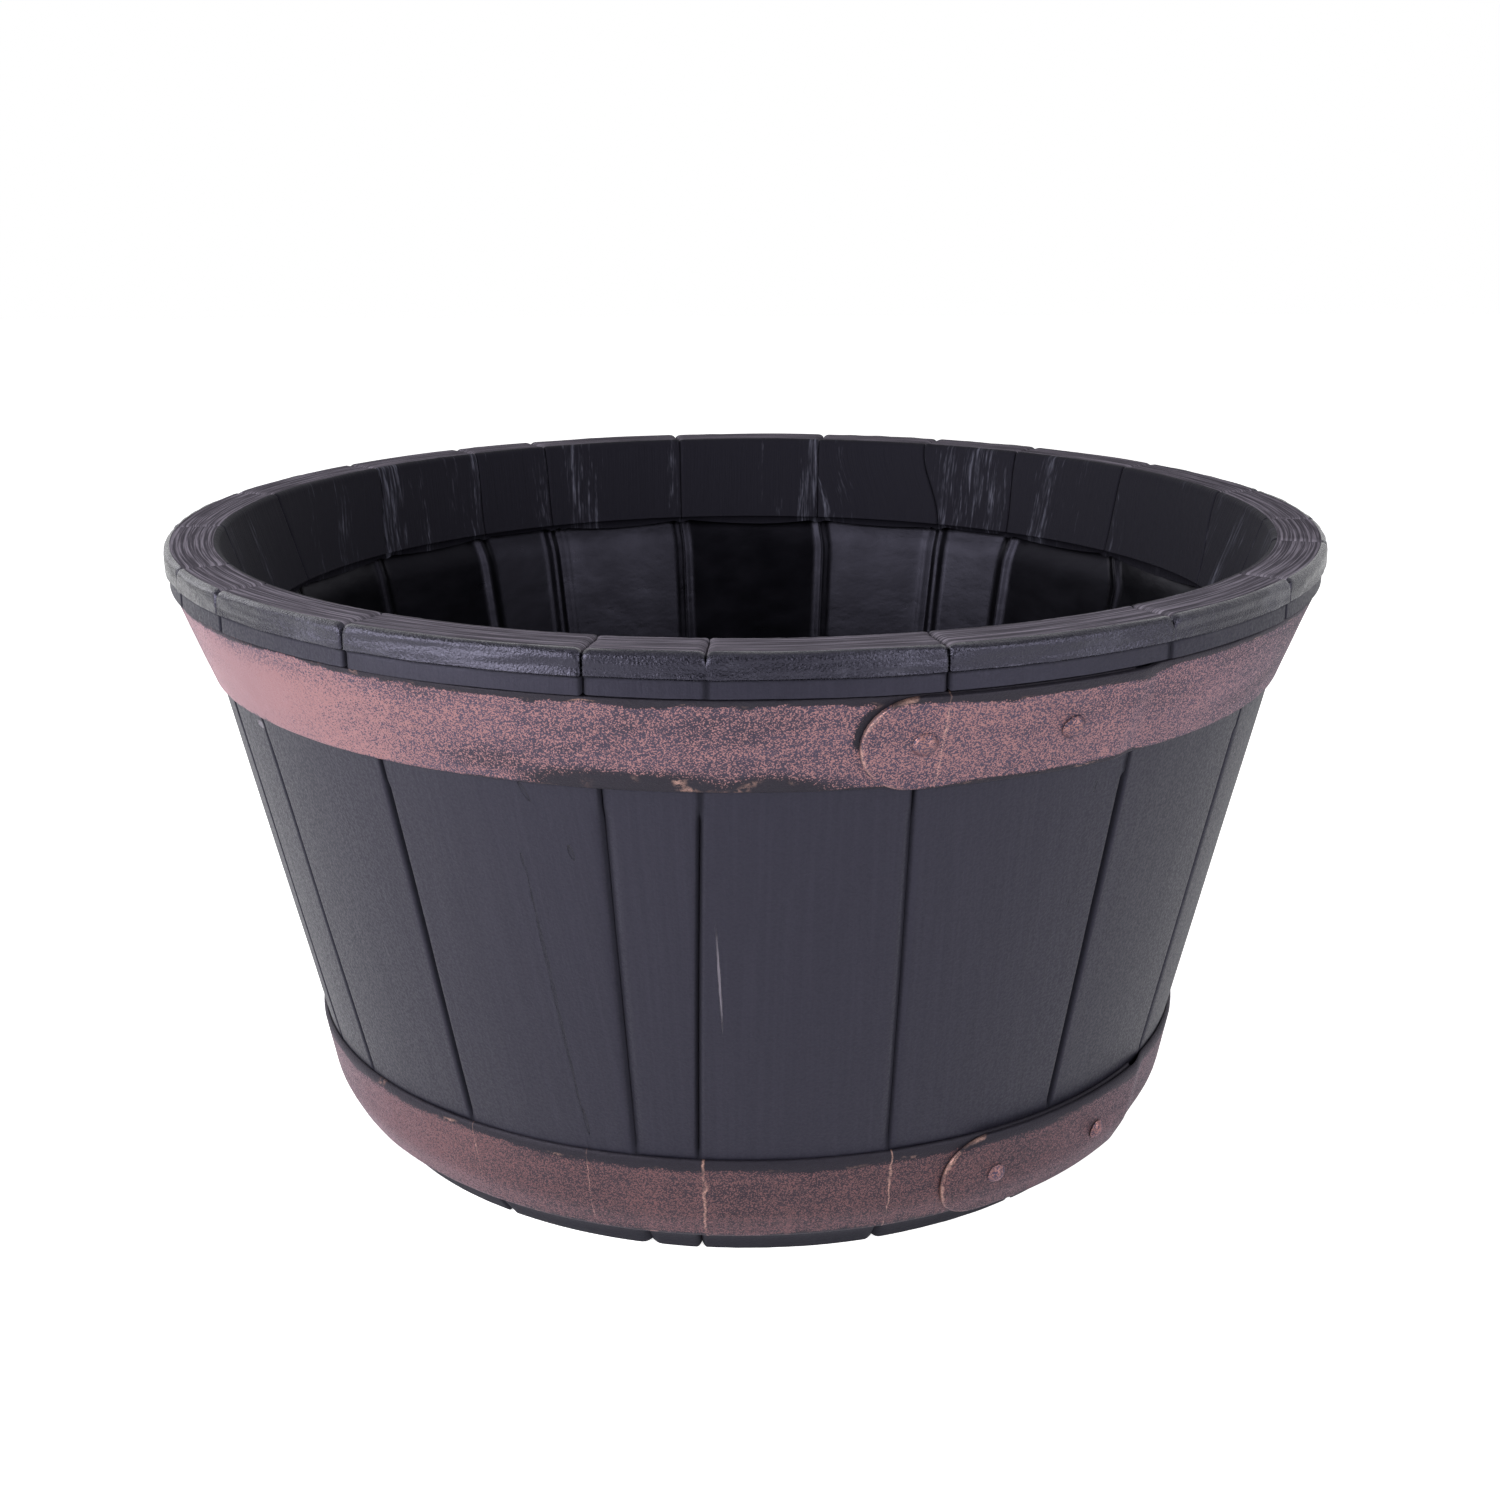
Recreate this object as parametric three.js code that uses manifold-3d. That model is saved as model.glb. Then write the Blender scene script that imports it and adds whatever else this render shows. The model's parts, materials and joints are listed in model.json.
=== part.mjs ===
// A coopered planter tub: tapered staves of random widths, drawn together by two riveted hoops
// round a boarded bottom that sits in a groove near the foot.
//
// Millimetres, +Z up. The tub's axis is the Z axis and it stands on z = 0.
// Azimuths are in degrees, counted from the front (-Y) towards the right (+X).

import * as THREE from "three";
import { mergeVertices } from "three/addons/utils/BufferGeometryUtils.js";
import Module from "manifold-3d";

const manifold = await Module();
manifold.setup();

// ---------------------------------------------------------------- driving dimensions

// The tub as a whole
const tubHeight = 265;
const rimRadius = 250;
const footRadius = 175;
const clearance = 0.3;

// Stave head: a thick rim with a lip outside and a band inside
const rimThickness = 23;
const rimRounding = 2.6;
const lipHeight = 16;
const lipDepth = 3.2;
const tierHeight = 9;
const tierSetback = 1.4;
const bandDepth = 42;
const bandTaper = 0.31;
const bandChamfer = 1.6;

// Stave wall and foot
const wallThickness = 13;
const footHeight = 13;
const footBevel = 10;
const footFace = 9;
const crozeHeight = 24;
const crozeDepth = 5;

// Stave joints: the edges are eased, so that each joint shows as a V
const easeDepth = 1.3;
const easeWidth = 1.5;
const firstJoint = -170.8;

// Width of each stave at the rim and at the foot, clockwise from the first joint seen from below
const staveWidths = [
  [84, 59.5], [45, 32], [70.5, 57.5], [91, 59], [86.5, 58], [92, 59], [48, 33], [79, 59],
  [94.5, 65.5], [42, 20.5], [82, 69], [93.5, 66.5], [82, 63.5], [80.5, 51.5], [52.5, 33.5],
  [73.5, 38], [87.5, 62], [77.5, 63], [59.5, 32], [65.5, 53.5], [84.5, 64],
];

// Hoops: strip bent to a cone and lapped over itself. The lower hoop's bottom edge turns in.
const stripThickness = 1.8;
const stripEdge = 0.5;
const upperHoopWidth = 39.3;
const upperHoopFlare = 0.373;
const upperLap = { azimuth: 9.25, setback: 22.3, spacing: 56.8 };
const upperHead = { radius: 4.8, height: 2.8 };
const lowerHoopWidth = 40;
const lowerHoopFlare = 0.185;
const lowerLap = { azimuth: 22.9, setback: 24.8, spacing: 57.7 };
const lowerHead = { radius: 4.1, height: 2.2 };
const turnedInWidth = 13.5;
const turnedInFlare = 0.525;
const joggleLength = 14;

// Rivets
const rivetShankRadius = 2.5;
const rivetTailRadius = 3.9;
const rivetTailDepth = 1.2;

// Bottom boards, their dowels and drain holes
const boardCount = 5;
const boardThickness = 16;
const tongueThickness = 7;
const bottomBevel = 22;
const dowelRadius = 4;
const dowelLength = 30;
const dowelSpacing = 150;
const drainRadius = 8;
const drainSpacing = 120;

// Facets
const wallStep = 4.5;
const stripStep = 4;
const endSteps = 7;
const joggleSteps = 4;
const discSegments = 72;
const rivetSegments = 20;
const holeSegments = 16;

// ---------------------------------------------------------------- derived sizes

const lipUnderside = tubHeight - lipHeight;
const neckRadius = rimRadius - tierSetback - lipDepth;
const rimInnerRadius = rimRadius - rimThickness;
const bandBottom = tubHeight - bandDepth;
const bandBottomRadius = rimInnerRadius - bandTaper * bandDepth;

// The point that lies a length up a slope from another. Points are Vector2(radius, height).
function upSlope(start, flare, length) {
  return start.clone().addScaledVector(new THREE.Vector2(flare, 1).normalize(), length);
}

// A seat is the stretch of the stave's face that a hoop bears on: one or more straight facets
// through the given points, from the bottom up.
function seatThrough(points) {
  let start = 0;
  const facets = points.slice(1).map((top, index) => {
    const bottom = points[index];
    const along = top.clone().sub(bottom).normalize();
    const facet = { start, bottom, along, outward: new THREE.Vector2(along.y, -along.x) };
    start += top.distanceTo(bottom);
    return facet;
  });
  return { facets, bottom: points[0], top: points.at(-1), bends: facets.slice(1), width: start };
}

// The facet of a seat at a distance up from its bottom
function facetAt(seat, distance) {
  return seat.facets.findLast((facet) => facet.start <= distance) ?? seat.facets[0];
}

// The point at a distance up a seat and out from it. On a bend it moves out between both facets.
function pointOnSeat(seat, distance, out) {
  const { start, bottom, along, outward } = facetAt(seat, distance);
  const point = bottom.clone().addScaledVector(along, distance - start);
  const bend = seat.bends.find((facet) => Math.abs(facet.start - distance) < 1e-6);
  if (!bend) {
    return point.addScaledVector(outward, out);
  }
  const below = seat.facets[seat.facets.indexOf(bend) - 1].outward;
  const middle = below.clone().add(bend.outward).normalize();
  return point.addScaledVector(middle, out / middle.dot(below));
}

const upperSeatTop = new THREE.Vector2(neckRadius, lipUnderside - clearance);
const upperSeat = seatThrough([
  upSlope(upperSeatTop, upperHoopFlare, -upperHoopWidth),
  upperSeatTop,
]);

const lowerSeatBottom = new THREE.Vector2(footRadius + footBevel, footHeight);
const lowerSeatBend = upSlope(lowerSeatBottom, turnedInFlare, turnedInWidth);
const lowerSeat = seatThrough([
  lowerSeatBottom,
  lowerSeatBend,
  upSlope(lowerSeatBend, lowerHoopFlare, lowerHoopWidth - turnedInWidth),
]);

// Inner radius of the wall at a height. It runs straight on down to the croze and the foot.
const wallRise = upperSeat.bottom.clone().sub(lowerSeat.top);

function wallInnerRadius(height) {
  const up = (height - lowerSeat.top.y) / wallRise.y;
  return lowerSeat.top.x + wallRise.x * up - wallThickness;
}

const crozeOpening = tongueThickness + 2 * clearance;
const crozeTop = crozeHeight + crozeOpening;
const crozeMiddle = crozeHeight + crozeOpening / 2;
const crozeRadius = wallInnerRadius(crozeMiddle) + crozeDepth;

const bottomRadius = crozeRadius - clearance;
const bottomLow = crozeMiddle - boardThickness / 2;
const bottomHigh = crozeMiddle + boardThickness / 2;
const boardPitch = (2 * bottomRadius + clearance) / boardCount;
const boardWidth = boardPitch - clearance;

// ---------------------------------------------------------------- geometry helpers

const toRadians = THREE.MathUtils.degToRad;

function onRing(radius, azimuth, height) {
  return new THREE.Vector3(radius * Math.sin(azimuth), -radius * Math.cos(azimuth), height);
}

// A closed body through sections that have the same corners, anticlockwise in (radius, height)
// and in order of growing azimuth. The end faces are cut up as the given outline.
function loft(sections, outline) {
  const corners = outline.length;
  const positions = sections.flat().flatMap((point) => point.toArray());
  const index = [];
  for (let s = 0; s + 1 < sections.length; s += 1) {
    for (let c = 0; c < corners; c += 1) {
      const next = (c + 1) % corners;
      const a = s * corners + c;
      const b = (s + 1) * corners + c;
      const d = (s + 1) * corners + next;
      const e = s * corners + next;
      index.push(a, b, d, a, d, e);
    }
  }
  const last = (sections.length - 1) * corners;
  for (const [a, b, c] of THREE.ShapeUtils.triangulateShape(outline, [])) {
    index.push(a, b, c);
    index.push(last + a, last + c, last + b);
  }
  const geometry = new THREE.BufferGeometry();
  geometry.setAttribute("position", new THREE.Float32BufferAttribute(positions, 3));
  geometry.setIndex(index);
  return geometry;
}

// A body turned about the Z axis from (radius, height) points that start and end on the axis
function turned(points, segments) {
  return new THREE.LatheGeometry(points, segments).rotateX(Math.PI / 2);
}

function toSolid(geometry) {
  const bare = geometry.clone();
  bare.deleteAttribute("normal");
  bare.deleteAttribute("uv");
  const merged = mergeVertices(bare, 1e-4);
  const triangles = [];
  for (let i = 0; i < merged.index.count; i += 3) {
    const [a, b, c] = [0, 1, 2].map((corner) => merged.index.getX(i + corner));
    if (a !== b && b !== c && c !== a) {
      triangles.push(a, b, c);
    }
  }
  const mesh = new manifold.Mesh({
    numProp: 3,
    vertProperties: new Float32Array(merged.attributes.position.array),
    triVerts: new Uint32Array(triangles),
  });
  return new manifold.Manifold(mesh);
}

function toGeometry(solid) {
  const mesh = solid.getMesh();
  const geometry = new THREE.BufferGeometry();
  geometry.setAttribute("position", new THREE.BufferAttribute(mesh.vertProperties, 3));
  geometry.setIndex(new THREE.BufferAttribute(mesh.triVerts, 1));
  return geometry;
}

function cutAll(geometry, tools) {
  const cut = tools.reduce((solid, tool) => solid.subtract(toSolid(tool)), toSolid(geometry));
  return toGeometry(cut);
}

// ---------------------------------------------------------------- materials

const finishes = {
  stave: { color: 0x3b3a44, roughness: 0.55, metalness: 0 },
  hoop: { color: 0x8d5a4a, roughness: 0.5, metalness: 0.6 },
  rivet: { color: 0x9a6350, roughness: 0.45, metalness: 0.6 },
  board: { color: 0x15151a, roughness: 0.4, metalness: 0 },
  dowel: { color: 0xb08a5a, roughness: 0.8, metalness: 0 },
};

function named(name, geometry, finish) {
  geometry.computeVertexNormals();
  const mesh = new THREE.Mesh(geometry, new THREE.MeshStandardMaterial(finishes[finish]));
  mesh.name = name;
  return mesh;
}

function numbered(name, index) {
  return `${name}_${String(index + 1).padStart(2, "0")}`;
}

// ---------------------------------------------------------------- staves

// A corner of the stave's outline. easeX and easeY say which way it moves where the edge is eased.
function corner(radius, height, easeX = 0, easeY = 0) {
  return { radius, height, easeX, easeY };
}

function roundedCorner(centreRadius, centreHeight, from, to, easeX) {
  return [0, 0.5, 1].map((share) => {
    const angle = toRadians(THREE.MathUtils.lerp(from, to, share));
    const radius = centreRadius + rimRounding * Math.cos(angle);
    const height = centreHeight + rimRounding * Math.sin(angle);
    return corner(radius, height, easeX, -1);
  });
}

function staveOutline() {
  const roundHeight = tubHeight - rimRounding;
  const tierBottom = tubHeight - tierHeight;
  const lipRadius = neckRadius + lipDepth;
  const bandWallRadius = upperSeatTop.x
    - upperHoopFlare * (upperSeatTop.y - bandBottom) - wallThickness;
  return [
    corner(footRadius, 0, -1),
    corner(lowerSeat.bottom.x, lowerSeat.bottom.y, -1),
    corner(lowerSeatBend.x, lowerSeatBend.y, -1),
    corner(lowerSeat.top.x, lowerSeat.top.y, -1),
    corner(upperSeat.bottom.x, upperSeat.bottom.y, -1),
    corner(neckRadius, lipUnderside, -1),
    corner(lipRadius, lipUnderside, -1),
    corner(lipRadius, tierBottom - tierSetback / 2, -1),
    corner(rimRadius, tierBottom, -1),
    ...roundedCorner(rimRadius - rimRounding, roundHeight, 0, 90, -1),
    ...roundedCorner(rimInnerRadius + rimRounding, roundHeight, 90, 180, 1),
    corner(bandBottomRadius, bandBottom + bandChamfer, 1),
    corner(bandBottomRadius + bandChamfer, bandBottom, 1),
    corner(bandWallRadius, bandBottom, 1),
    corner(wallInnerRadius(upperSeat.bottom.y), upperSeat.bottom.y, 1),
    corner(wallInnerRadius(crozeTop), crozeTop, 1),
    corner(crozeRadius, crozeTop),
    corner(crozeRadius, crozeHeight),
    corner(wallInnerRadius(crozeHeight), crozeHeight),
    corner(footRadius - footFace, 0),
  ];
}

// Azimuths of the joints in radians, from the staves' widths along the rim or the foot
function jointAzimuths(widths) {
  const total = widths.reduce((sum, width) => sum + width, 0);
  const azimuths = [toRadians(firstJoint)];
  for (const width of widths) {
    azimuths.push(azimuths.at(-1) + (2 * Math.PI * width) / total);
  }
  return azimuths;
}

const rimJoints = jointAzimuths(staveWidths.map(([rim]) => rim));
const footJoints = jointAzimuths(staveWidths.map(([, foot]) => foot));

function jointAzimuth(joint, height) {
  return THREE.MathUtils.lerp(footJoints[joint], rimJoints[joint], height / tubHeight);
}

// Sections across the stave: the eased edge, the full outline next to it, and steps in between
function staveStations(index) {
  const span = THREE.MathUtils.radToDeg(rimJoints[index + 1] - rimJoints[index]);
  const steps = Math.max(1, Math.round(span / wallStep));
  const stations = [{ share: 0, shift: 0, ease: easeDepth }];
  for (let step = 0; step <= steps; step += 1) {
    const share = step / steps;
    stations.push({ share, shift: (1 - 2 * share) * easeWidth, ease: 0 });
  }
  stations.push({ share: 1, shift: 0, ease: easeDepth });
  return stations;
}

function stave(index) {
  const outline = staveOutline();
  const sections = staveStations(index).map(({ share, shift, ease }) =>
    outline.map((point) => {
      const radius = point.radius + point.easeX * ease;
      const height = point.height + point.easeY * ease;
      const left = jointAzimuth(index, point.height) + clearance / 2 / radius;
      const right = jointAzimuth(index + 1, point.height) - clearance / 2 / radius;
      const azimuth = THREE.MathUtils.lerp(left, right, share) + shift / radius;
      return onRing(radius, azimuth, height);
    }));
  const flat = outline.map(({ radius, height }) => new THREE.Vector2(radius, height));
  return named(numbered("stave", index), loft(sections, flat), "stave");
}

// ---------------------------------------------------------------- hoops

function hoopShape(seat, lap, rivetHead) {
  const middleRadius = pointOnSeat(seat, seat.width / 2, 0).x;
  const length = lap.setback * 2 + lap.spacing;
  return { seat, lap, rivetHead, middleRadius, length };
}

const upperHoopShape = hoopShape(upperSeat, upperLap, upperHead);
const lowerHoopShape = hoopShape(lowerSeat, lowerLap, lowerHead);

// How far the strip stands off the staves: the lap's outer layer lies over the inner one,
// and the strip steps down behind the inner layer's end.
const innerLayer = clearance;
const outerLayer = innerLayer + stripThickness + clearance;

function standOff(distance, lapLength) {
  const step = (distance - lapLength - stripThickness) / joggleLength;
  return THREE.MathUtils.lerp(outerLayer, innerLayer, THREE.MathUtils.smoothstep(step, 0, 1));
}

function evenSteps(from, to, longest) {
  const count = Math.ceil((to - from) / longest);
  return Array.from({ length: count }, (_, step) => from + ((to - from) * (step + 1)) / count);
}

// Distances along the strip from the tip of the lap's round outer end to its square inner end
function stripStations(shape) {
  const halfWidth = shape.seat.width / 2;
  const stepLength = toRadians(stripStep) * shape.middleRadius;
  const joggleStart = shape.length + stripThickness;
  const joggleEnd = joggleStart + joggleLength;
  const innerEnd = 2 * Math.PI * shape.middleRadius + shape.length;
  const stations = [];
  for (let step = 1; step <= endSteps; step += 1) {
    const angle = (step / endSteps) * (Math.PI / 2);
    const distance = halfWidth * (1 - Math.cos(angle));
    stations.push({ distance, halfWidth: halfWidth * Math.sin(angle) });
  }
  const distances = [
    ...evenSteps(halfWidth, joggleStart, stepLength),
    ...evenSteps(joggleStart, joggleEnd, joggleLength / joggleSteps),
    ...evenSteps(joggleEnd, innerEnd, stepLength),
  ];
  return [...stations, ...distances.map((distance) => ({ distance, halfWidth }))];
}

// The strip's section, anticlockwise in (radius, height). It follows the seat's bends, as far as
// they lie within the strip's width there.
function stripSection(seat, halfWidth, base) {
  const face = base + stripThickness;
  const middle = seat.width / 2;
  const low = middle - halfWidth;
  const high = middle + halfWidth;
  const bends = seat.bends.map(({ start }) =>
    THREE.MathUtils.clamp(start, low + 2 * stripEdge, high - 2 * stripEdge));
  return [
    [low, base],
    [low, face - stripEdge],
    [low + stripEdge, face],
    ...bends.map((bend) => [bend, face]),
    [high - stripEdge, face],
    [high, face - stripEdge],
    [high, base],
    ...bends.toReversed().map((bend) => [bend, base]),
  ].map(([distance, out]) => pointOnSeat(seat, distance, out));
}

function hoop(name, shape) {
  const { seat, lap, middleRadius, length } = shape;
  const sections = stripStations(shape).map(({ distance, halfWidth }) => {
    const azimuth = toRadians(lap.azimuth) + distance / middleRadius;
    return stripSection(seat, halfWidth, standOff(distance, length)).map((point) =>
      onRing(point.x, azimuth, point.y));
  });
  const outline = stripSection(seat, seat.width / 2, innerLayer);
  const holes = rivetAzimuths(shape).map((azimuth) => rivetHole(shape, azimuth));
  return named(name, cutAll(loft(sections, outline), holes), "hoop");
}

// ---------------------------------------------------------------- rivets

function rivetAzimuths({ lap, middleRadius }) {
  return [lap.setback, lap.setback + lap.spacing].map(
    (distance) => toRadians(lap.azimuth) + distance / middleRadius);
}

// Moves a body from the origin, axis up, to the middle of the hoop with its axis out of the lap.
// Height 0 becomes the face of the lap's outer layer.
function lapPlacement({ seat }, azimuth) {
  const point = pointOnSeat(seat, seat.width / 2, outerLayer + stripThickness);
  const { outward } = facetAt(seat, seat.width / 2);
  const axis = onRing(outward.x, azimuth, outward.y);
  const turn = new THREE.Quaternion().setFromUnitVectors(new THREE.Vector3(0, 0, 1), axis);
  return { position: onRing(point.x, azimuth, point.y), turn };
}

const lapDepth = outerLayer + stripThickness - innerLayer;

// The rivet's shank and flattened tail, grown by a gap, as (radius, height) points from the tail up
function shankOutline(gap, top) {
  const tailStart = rivetTailDepth - lapDepth;
  return [
    new THREE.Vector2(rivetTailRadius + gap, -lapDepth),
    new THREE.Vector2(rivetShankRadius + gap, tailStart),
    new THREE.Vector2(rivetShankRadius + gap, top),
  ];
}

function rivetHole(shape, azimuth) {
  const { position, turn } = lapPlacement(shape, azimuth);
  const [tail, shank, mouth] = shankOutline(clearance, clearance);
  const low = -lapDepth - clearance;
  const outline = [new THREE.Vector2(0, low), new THREE.Vector2(tail.x, low), tail, shank, mouth];
  outline.push(new THREE.Vector2(0, mouth.y));
  return turned(outline, holeSegments).applyQuaternion(turn).translate(...position.toArray());
}

function rivet(name, shape, azimuth) {
  const domeSteps = 5;
  const head = shape.rivetHead;
  const bulge = (head.radius ** 2 + head.height ** 2) / (2 * head.height);
  const halfAngle = Math.asin(head.radius / bulge);
  const outline = [new THREE.Vector2(0, -lapDepth), ...shankOutline(0, clearance)];
  for (let step = 0; step < domeSteps; step += 1) {
    const angle = halfAngle * (1 - step / domeSteps);
    const height = clearance + head.height - bulge * (1 - Math.cos(angle));
    outline.push(new THREE.Vector2(bulge * Math.sin(angle), height));
  }
  outline.push(new THREE.Vector2(0, clearance + head.height));
  const mesh = named(name, turned(outline, rivetSegments), "rivet");
  const { position, turn } = lapPlacement(shape, azimuth);
  mesh.position.copy(position);
  mesh.quaternion.copy(turn);
  return mesh;
}

// ---------------------------------------------------------------- bottom

// The whole bottom as one disc, bevelled on both faces down to the tongue round its edge
function bottomDisc() {
  const tongueRadius = bottomRadius - crozeDepth;
  const bevelRadius = tongueRadius - bottomBevel;
  const tongueLow = crozeMiddle - tongueThickness / 2;
  const tongueHigh = crozeMiddle + tongueThickness / 2;
  return turned([
    new THREE.Vector2(0, bottomLow),
    new THREE.Vector2(bevelRadius, bottomLow),
    new THREE.Vector2(tongueRadius, tongueLow),
    new THREE.Vector2(bottomRadius, tongueLow),
    new THREE.Vector2(bottomRadius, tongueHigh),
    new THREE.Vector2(tongueRadius, tongueHigh),
    new THREE.Vector2(bevelRadius, bottomHigh),
    new THREE.Vector2(0, bottomHigh),
  ], discSegments);
}

function boardCentre(index) {
  return (index - (boardCount - 1) / 2) * boardPitch;
}

// A board's drain holes: one in the middle board, two in each board beside it, none in the rest
function drainHoles(index) {
  const fromMiddle = Math.abs(index - (boardCount - 1) / 2);
  const offsets = [[0], [-drainSpacing / 2, drainSpacing / 2]][fromMiddle] ?? [];
  return offsets.map((y) =>
    new THREE.CylinderGeometry(drainRadius, drainRadius, 2 * boardThickness, holeSegments)
      .rotateX(Math.PI / 2)
      .translate(boardCentre(index), y, crozeMiddle));
}

// Where the dowels of the joint after a board lie
function dowelPlaces(joint) {
  const x = boardCentre(joint) + boardPitch / 2;
  return [-1, 1].map((side) => new THREE.Vector3(x, (side * dowelSpacing) / 2, crozeMiddle));
}

function dowelBody(gap) {
  const radius = dowelRadius + gap;
  return new THREE.CylinderGeometry(radius, radius, dowelLength + 2 * gap, holeSegments)
    .rotateZ(Math.PI / 2);
}

function board(index) {
  const slab = new THREE.BoxGeometry(boardWidth, 2 * bottomRadius, 2 * boardThickness)
    .translate(boardCentre(index), 0, crozeMiddle);
  const joints = [index - 1, index].filter((joint) => joint >= 0 && joint < boardCount - 1);
  const sockets = joints.flatMap(dowelPlaces).map((place) =>
    dowelBody(clearance).translate(...place.toArray()));
  const blank = toGeometry(toSolid(bottomDisc()).intersect(toSolid(slab)));
  const geometry = cutAll(blank, [...sockets, ...drainHoles(index)]);
  return named(numbered("bottom_board", index), geometry, "board");
}

function dowels() {
  const places = Array.from({ length: boardCount - 1 }, (_, joint) => dowelPlaces(joint)).flat();
  return places.map((place, index) => {
    const mesh = named(numbered("dowel", index), dowelBody(0), "dowel");
    mesh.position.copy(place);
    return mesh;
  });
}

// ---------------------------------------------------------------- assembly

const tub = new THREE.Group();

for (let index = 0; index < staveWidths.length; index += 1) {
  tub.add(stave(index));
}

const hoopShapes = { upper: upperHoopShape, lower: lowerHoopShape };
for (const [place, shape] of Object.entries(hoopShapes)) {
  tub.add(hoop(`${place}_hoop`, shape));
  rivetAzimuths(shape).forEach((azimuth, index) => {
    tub.add(rivet(numbered(`${place}_rivet`, index), shape, azimuth));
  });
}

for (let index = 0; index < boardCount; index += 1) {
  tub.add(board(index));
}
tub.add(...dowels());

export default tub;
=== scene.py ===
"""A coopered planter tub: dark stained staves drawn together by two copper-toned hoops.

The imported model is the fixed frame. Each stave, hoop, rivet and bottom board is dressed by a finer
piece of the same size in the same place, and the dowels inside the bottom keep their own shape.
Everything is in metres, +Z is up, and azimuths are counted from the front (-Y) towards +X.
"""

from __future__ import annotations

import json
import logging
import math
from dataclasses import dataclass, field
from enum import Enum

import bpy
from mathutils import Matrix, Vector, noise
from mathutils.kdtree import KDTree

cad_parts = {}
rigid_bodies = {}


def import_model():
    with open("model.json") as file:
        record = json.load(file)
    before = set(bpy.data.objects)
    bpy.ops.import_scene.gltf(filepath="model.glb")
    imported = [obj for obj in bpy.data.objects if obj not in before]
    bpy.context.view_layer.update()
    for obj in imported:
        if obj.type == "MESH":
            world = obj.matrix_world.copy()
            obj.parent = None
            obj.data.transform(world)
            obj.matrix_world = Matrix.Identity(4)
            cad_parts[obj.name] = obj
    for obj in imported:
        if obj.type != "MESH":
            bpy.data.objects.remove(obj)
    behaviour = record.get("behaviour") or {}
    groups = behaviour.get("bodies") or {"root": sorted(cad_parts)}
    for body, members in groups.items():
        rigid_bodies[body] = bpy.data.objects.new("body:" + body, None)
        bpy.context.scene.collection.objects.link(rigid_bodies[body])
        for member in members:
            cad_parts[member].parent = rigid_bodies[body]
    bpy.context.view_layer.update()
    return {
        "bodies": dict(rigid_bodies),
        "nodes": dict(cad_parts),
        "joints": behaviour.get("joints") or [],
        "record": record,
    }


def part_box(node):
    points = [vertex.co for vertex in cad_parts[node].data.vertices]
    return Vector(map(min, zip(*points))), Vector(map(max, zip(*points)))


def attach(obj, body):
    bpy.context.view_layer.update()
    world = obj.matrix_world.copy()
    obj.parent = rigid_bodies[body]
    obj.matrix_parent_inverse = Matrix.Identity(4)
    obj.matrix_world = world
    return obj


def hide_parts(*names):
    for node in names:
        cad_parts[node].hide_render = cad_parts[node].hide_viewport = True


LOG = logging.getLogger("planter")
MM = 0.001
BODY = "root"
GRAIN_MAP = "grain"
ORIGIN = (0.0, 0.0, 0.0)
WHITE = (1.0, 1.0, 1.0, 1.0)
FULL_TURN = 2 * math.pi
PATTERN_STEP = 7.31

Point = tuple[float, float]
Triple = tuple[float, float, float]
Colour = Triple
Finishes = dict[str, bpy.types.Material]
Socket = bpy.types.NodeSocket
Sockets = bpy.types.bpy_prop_collection


# ------------------------------------------------------------------ small tools


def lerp(start: float, end: float, share: float) -> float:
    """Returns the value a share of the way from start to end."""
    return start + (end - start) * share


def smooth(share: float) -> float:
    """Returns a share from 0 to 1 with soft ends."""
    share = min(max(share, 0.0), 1.0)
    return share * share * (3.0 - 2.0 * share)


def up_span(height: float, span: Point) -> float:
    """Returns how far up a span a height lies, where the span is its low end and its length."""
    low, length = span
    return (height - low) / length


def on_ring(radius: float, azimuth: float, height: float) -> Vector:
    """Returns the point at a radius, azimuth and height."""
    return Vector((radius * math.sin(azimuth), -radius * math.cos(azimuth), height))


def ripple(u: float, v: float, seed: float) -> float:
    """Returns smooth noise between about -1 and 1.

    Args:
        u: First coordinate, in wavelengths.
        v: Second coordinate, in wavelengths.
        seed: Which of many unlike patterns to read.

    Returns:
        The noise at that point.
    """
    return noise.noise(Vector((u, v, seed * PATTERN_STEP)))


@dataclass(frozen=True)
class Wave:
    """A ripple of a surface: its wavelengths across and along, its height and its pattern."""

    across: float
    along: float
    height: float
    pattern: float

    def at(self, across: float, along: float = 0.0, seed: float = 0.0) -> float:
        """Returns the wave's height at a place, for the piece with a seed."""
        return self.height * ripple(across / self.across, along / self.along, seed + self.pattern)


def deselect_all() -> None:
    """Leaves object mode with nothing selected."""
    if bpy.context.mode != "OBJECT":
        bpy.ops.object.mode_set(mode="OBJECT")
    bpy.ops.object.select_all(action="DESELECT")


def make_active(piece: bpy.types.Object) -> None:
    """Selects one object alone and makes it active."""
    deselect_all()
    piece.select_set(True)
    bpy.context.view_layer.objects.active = piece


def copy_of(piece: bpy.types.Object, name: str) -> bpy.types.Object:
    """Returns a copy of a piece with its own mesh."""
    twin = piece.copy()
    twin.data = piece.data.copy()
    twin.name = name
    twin.data.name = name
    bpy.context.collection.objects.link(twin)
    return twin


def discard(piece: bpy.types.Object) -> None:
    """Deletes a helper object and its mesh."""
    mesh = piece.data
    bpy.data.objects.remove(piece)
    bpy.data.meshes.remove(mesh)


def apply_place(piece: bpy.types.Object) -> None:
    """Moves an object's place into its mesh."""
    make_active(piece)
    bpy.ops.object.transform_apply(location=True, rotation=True, scale=True)


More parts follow.
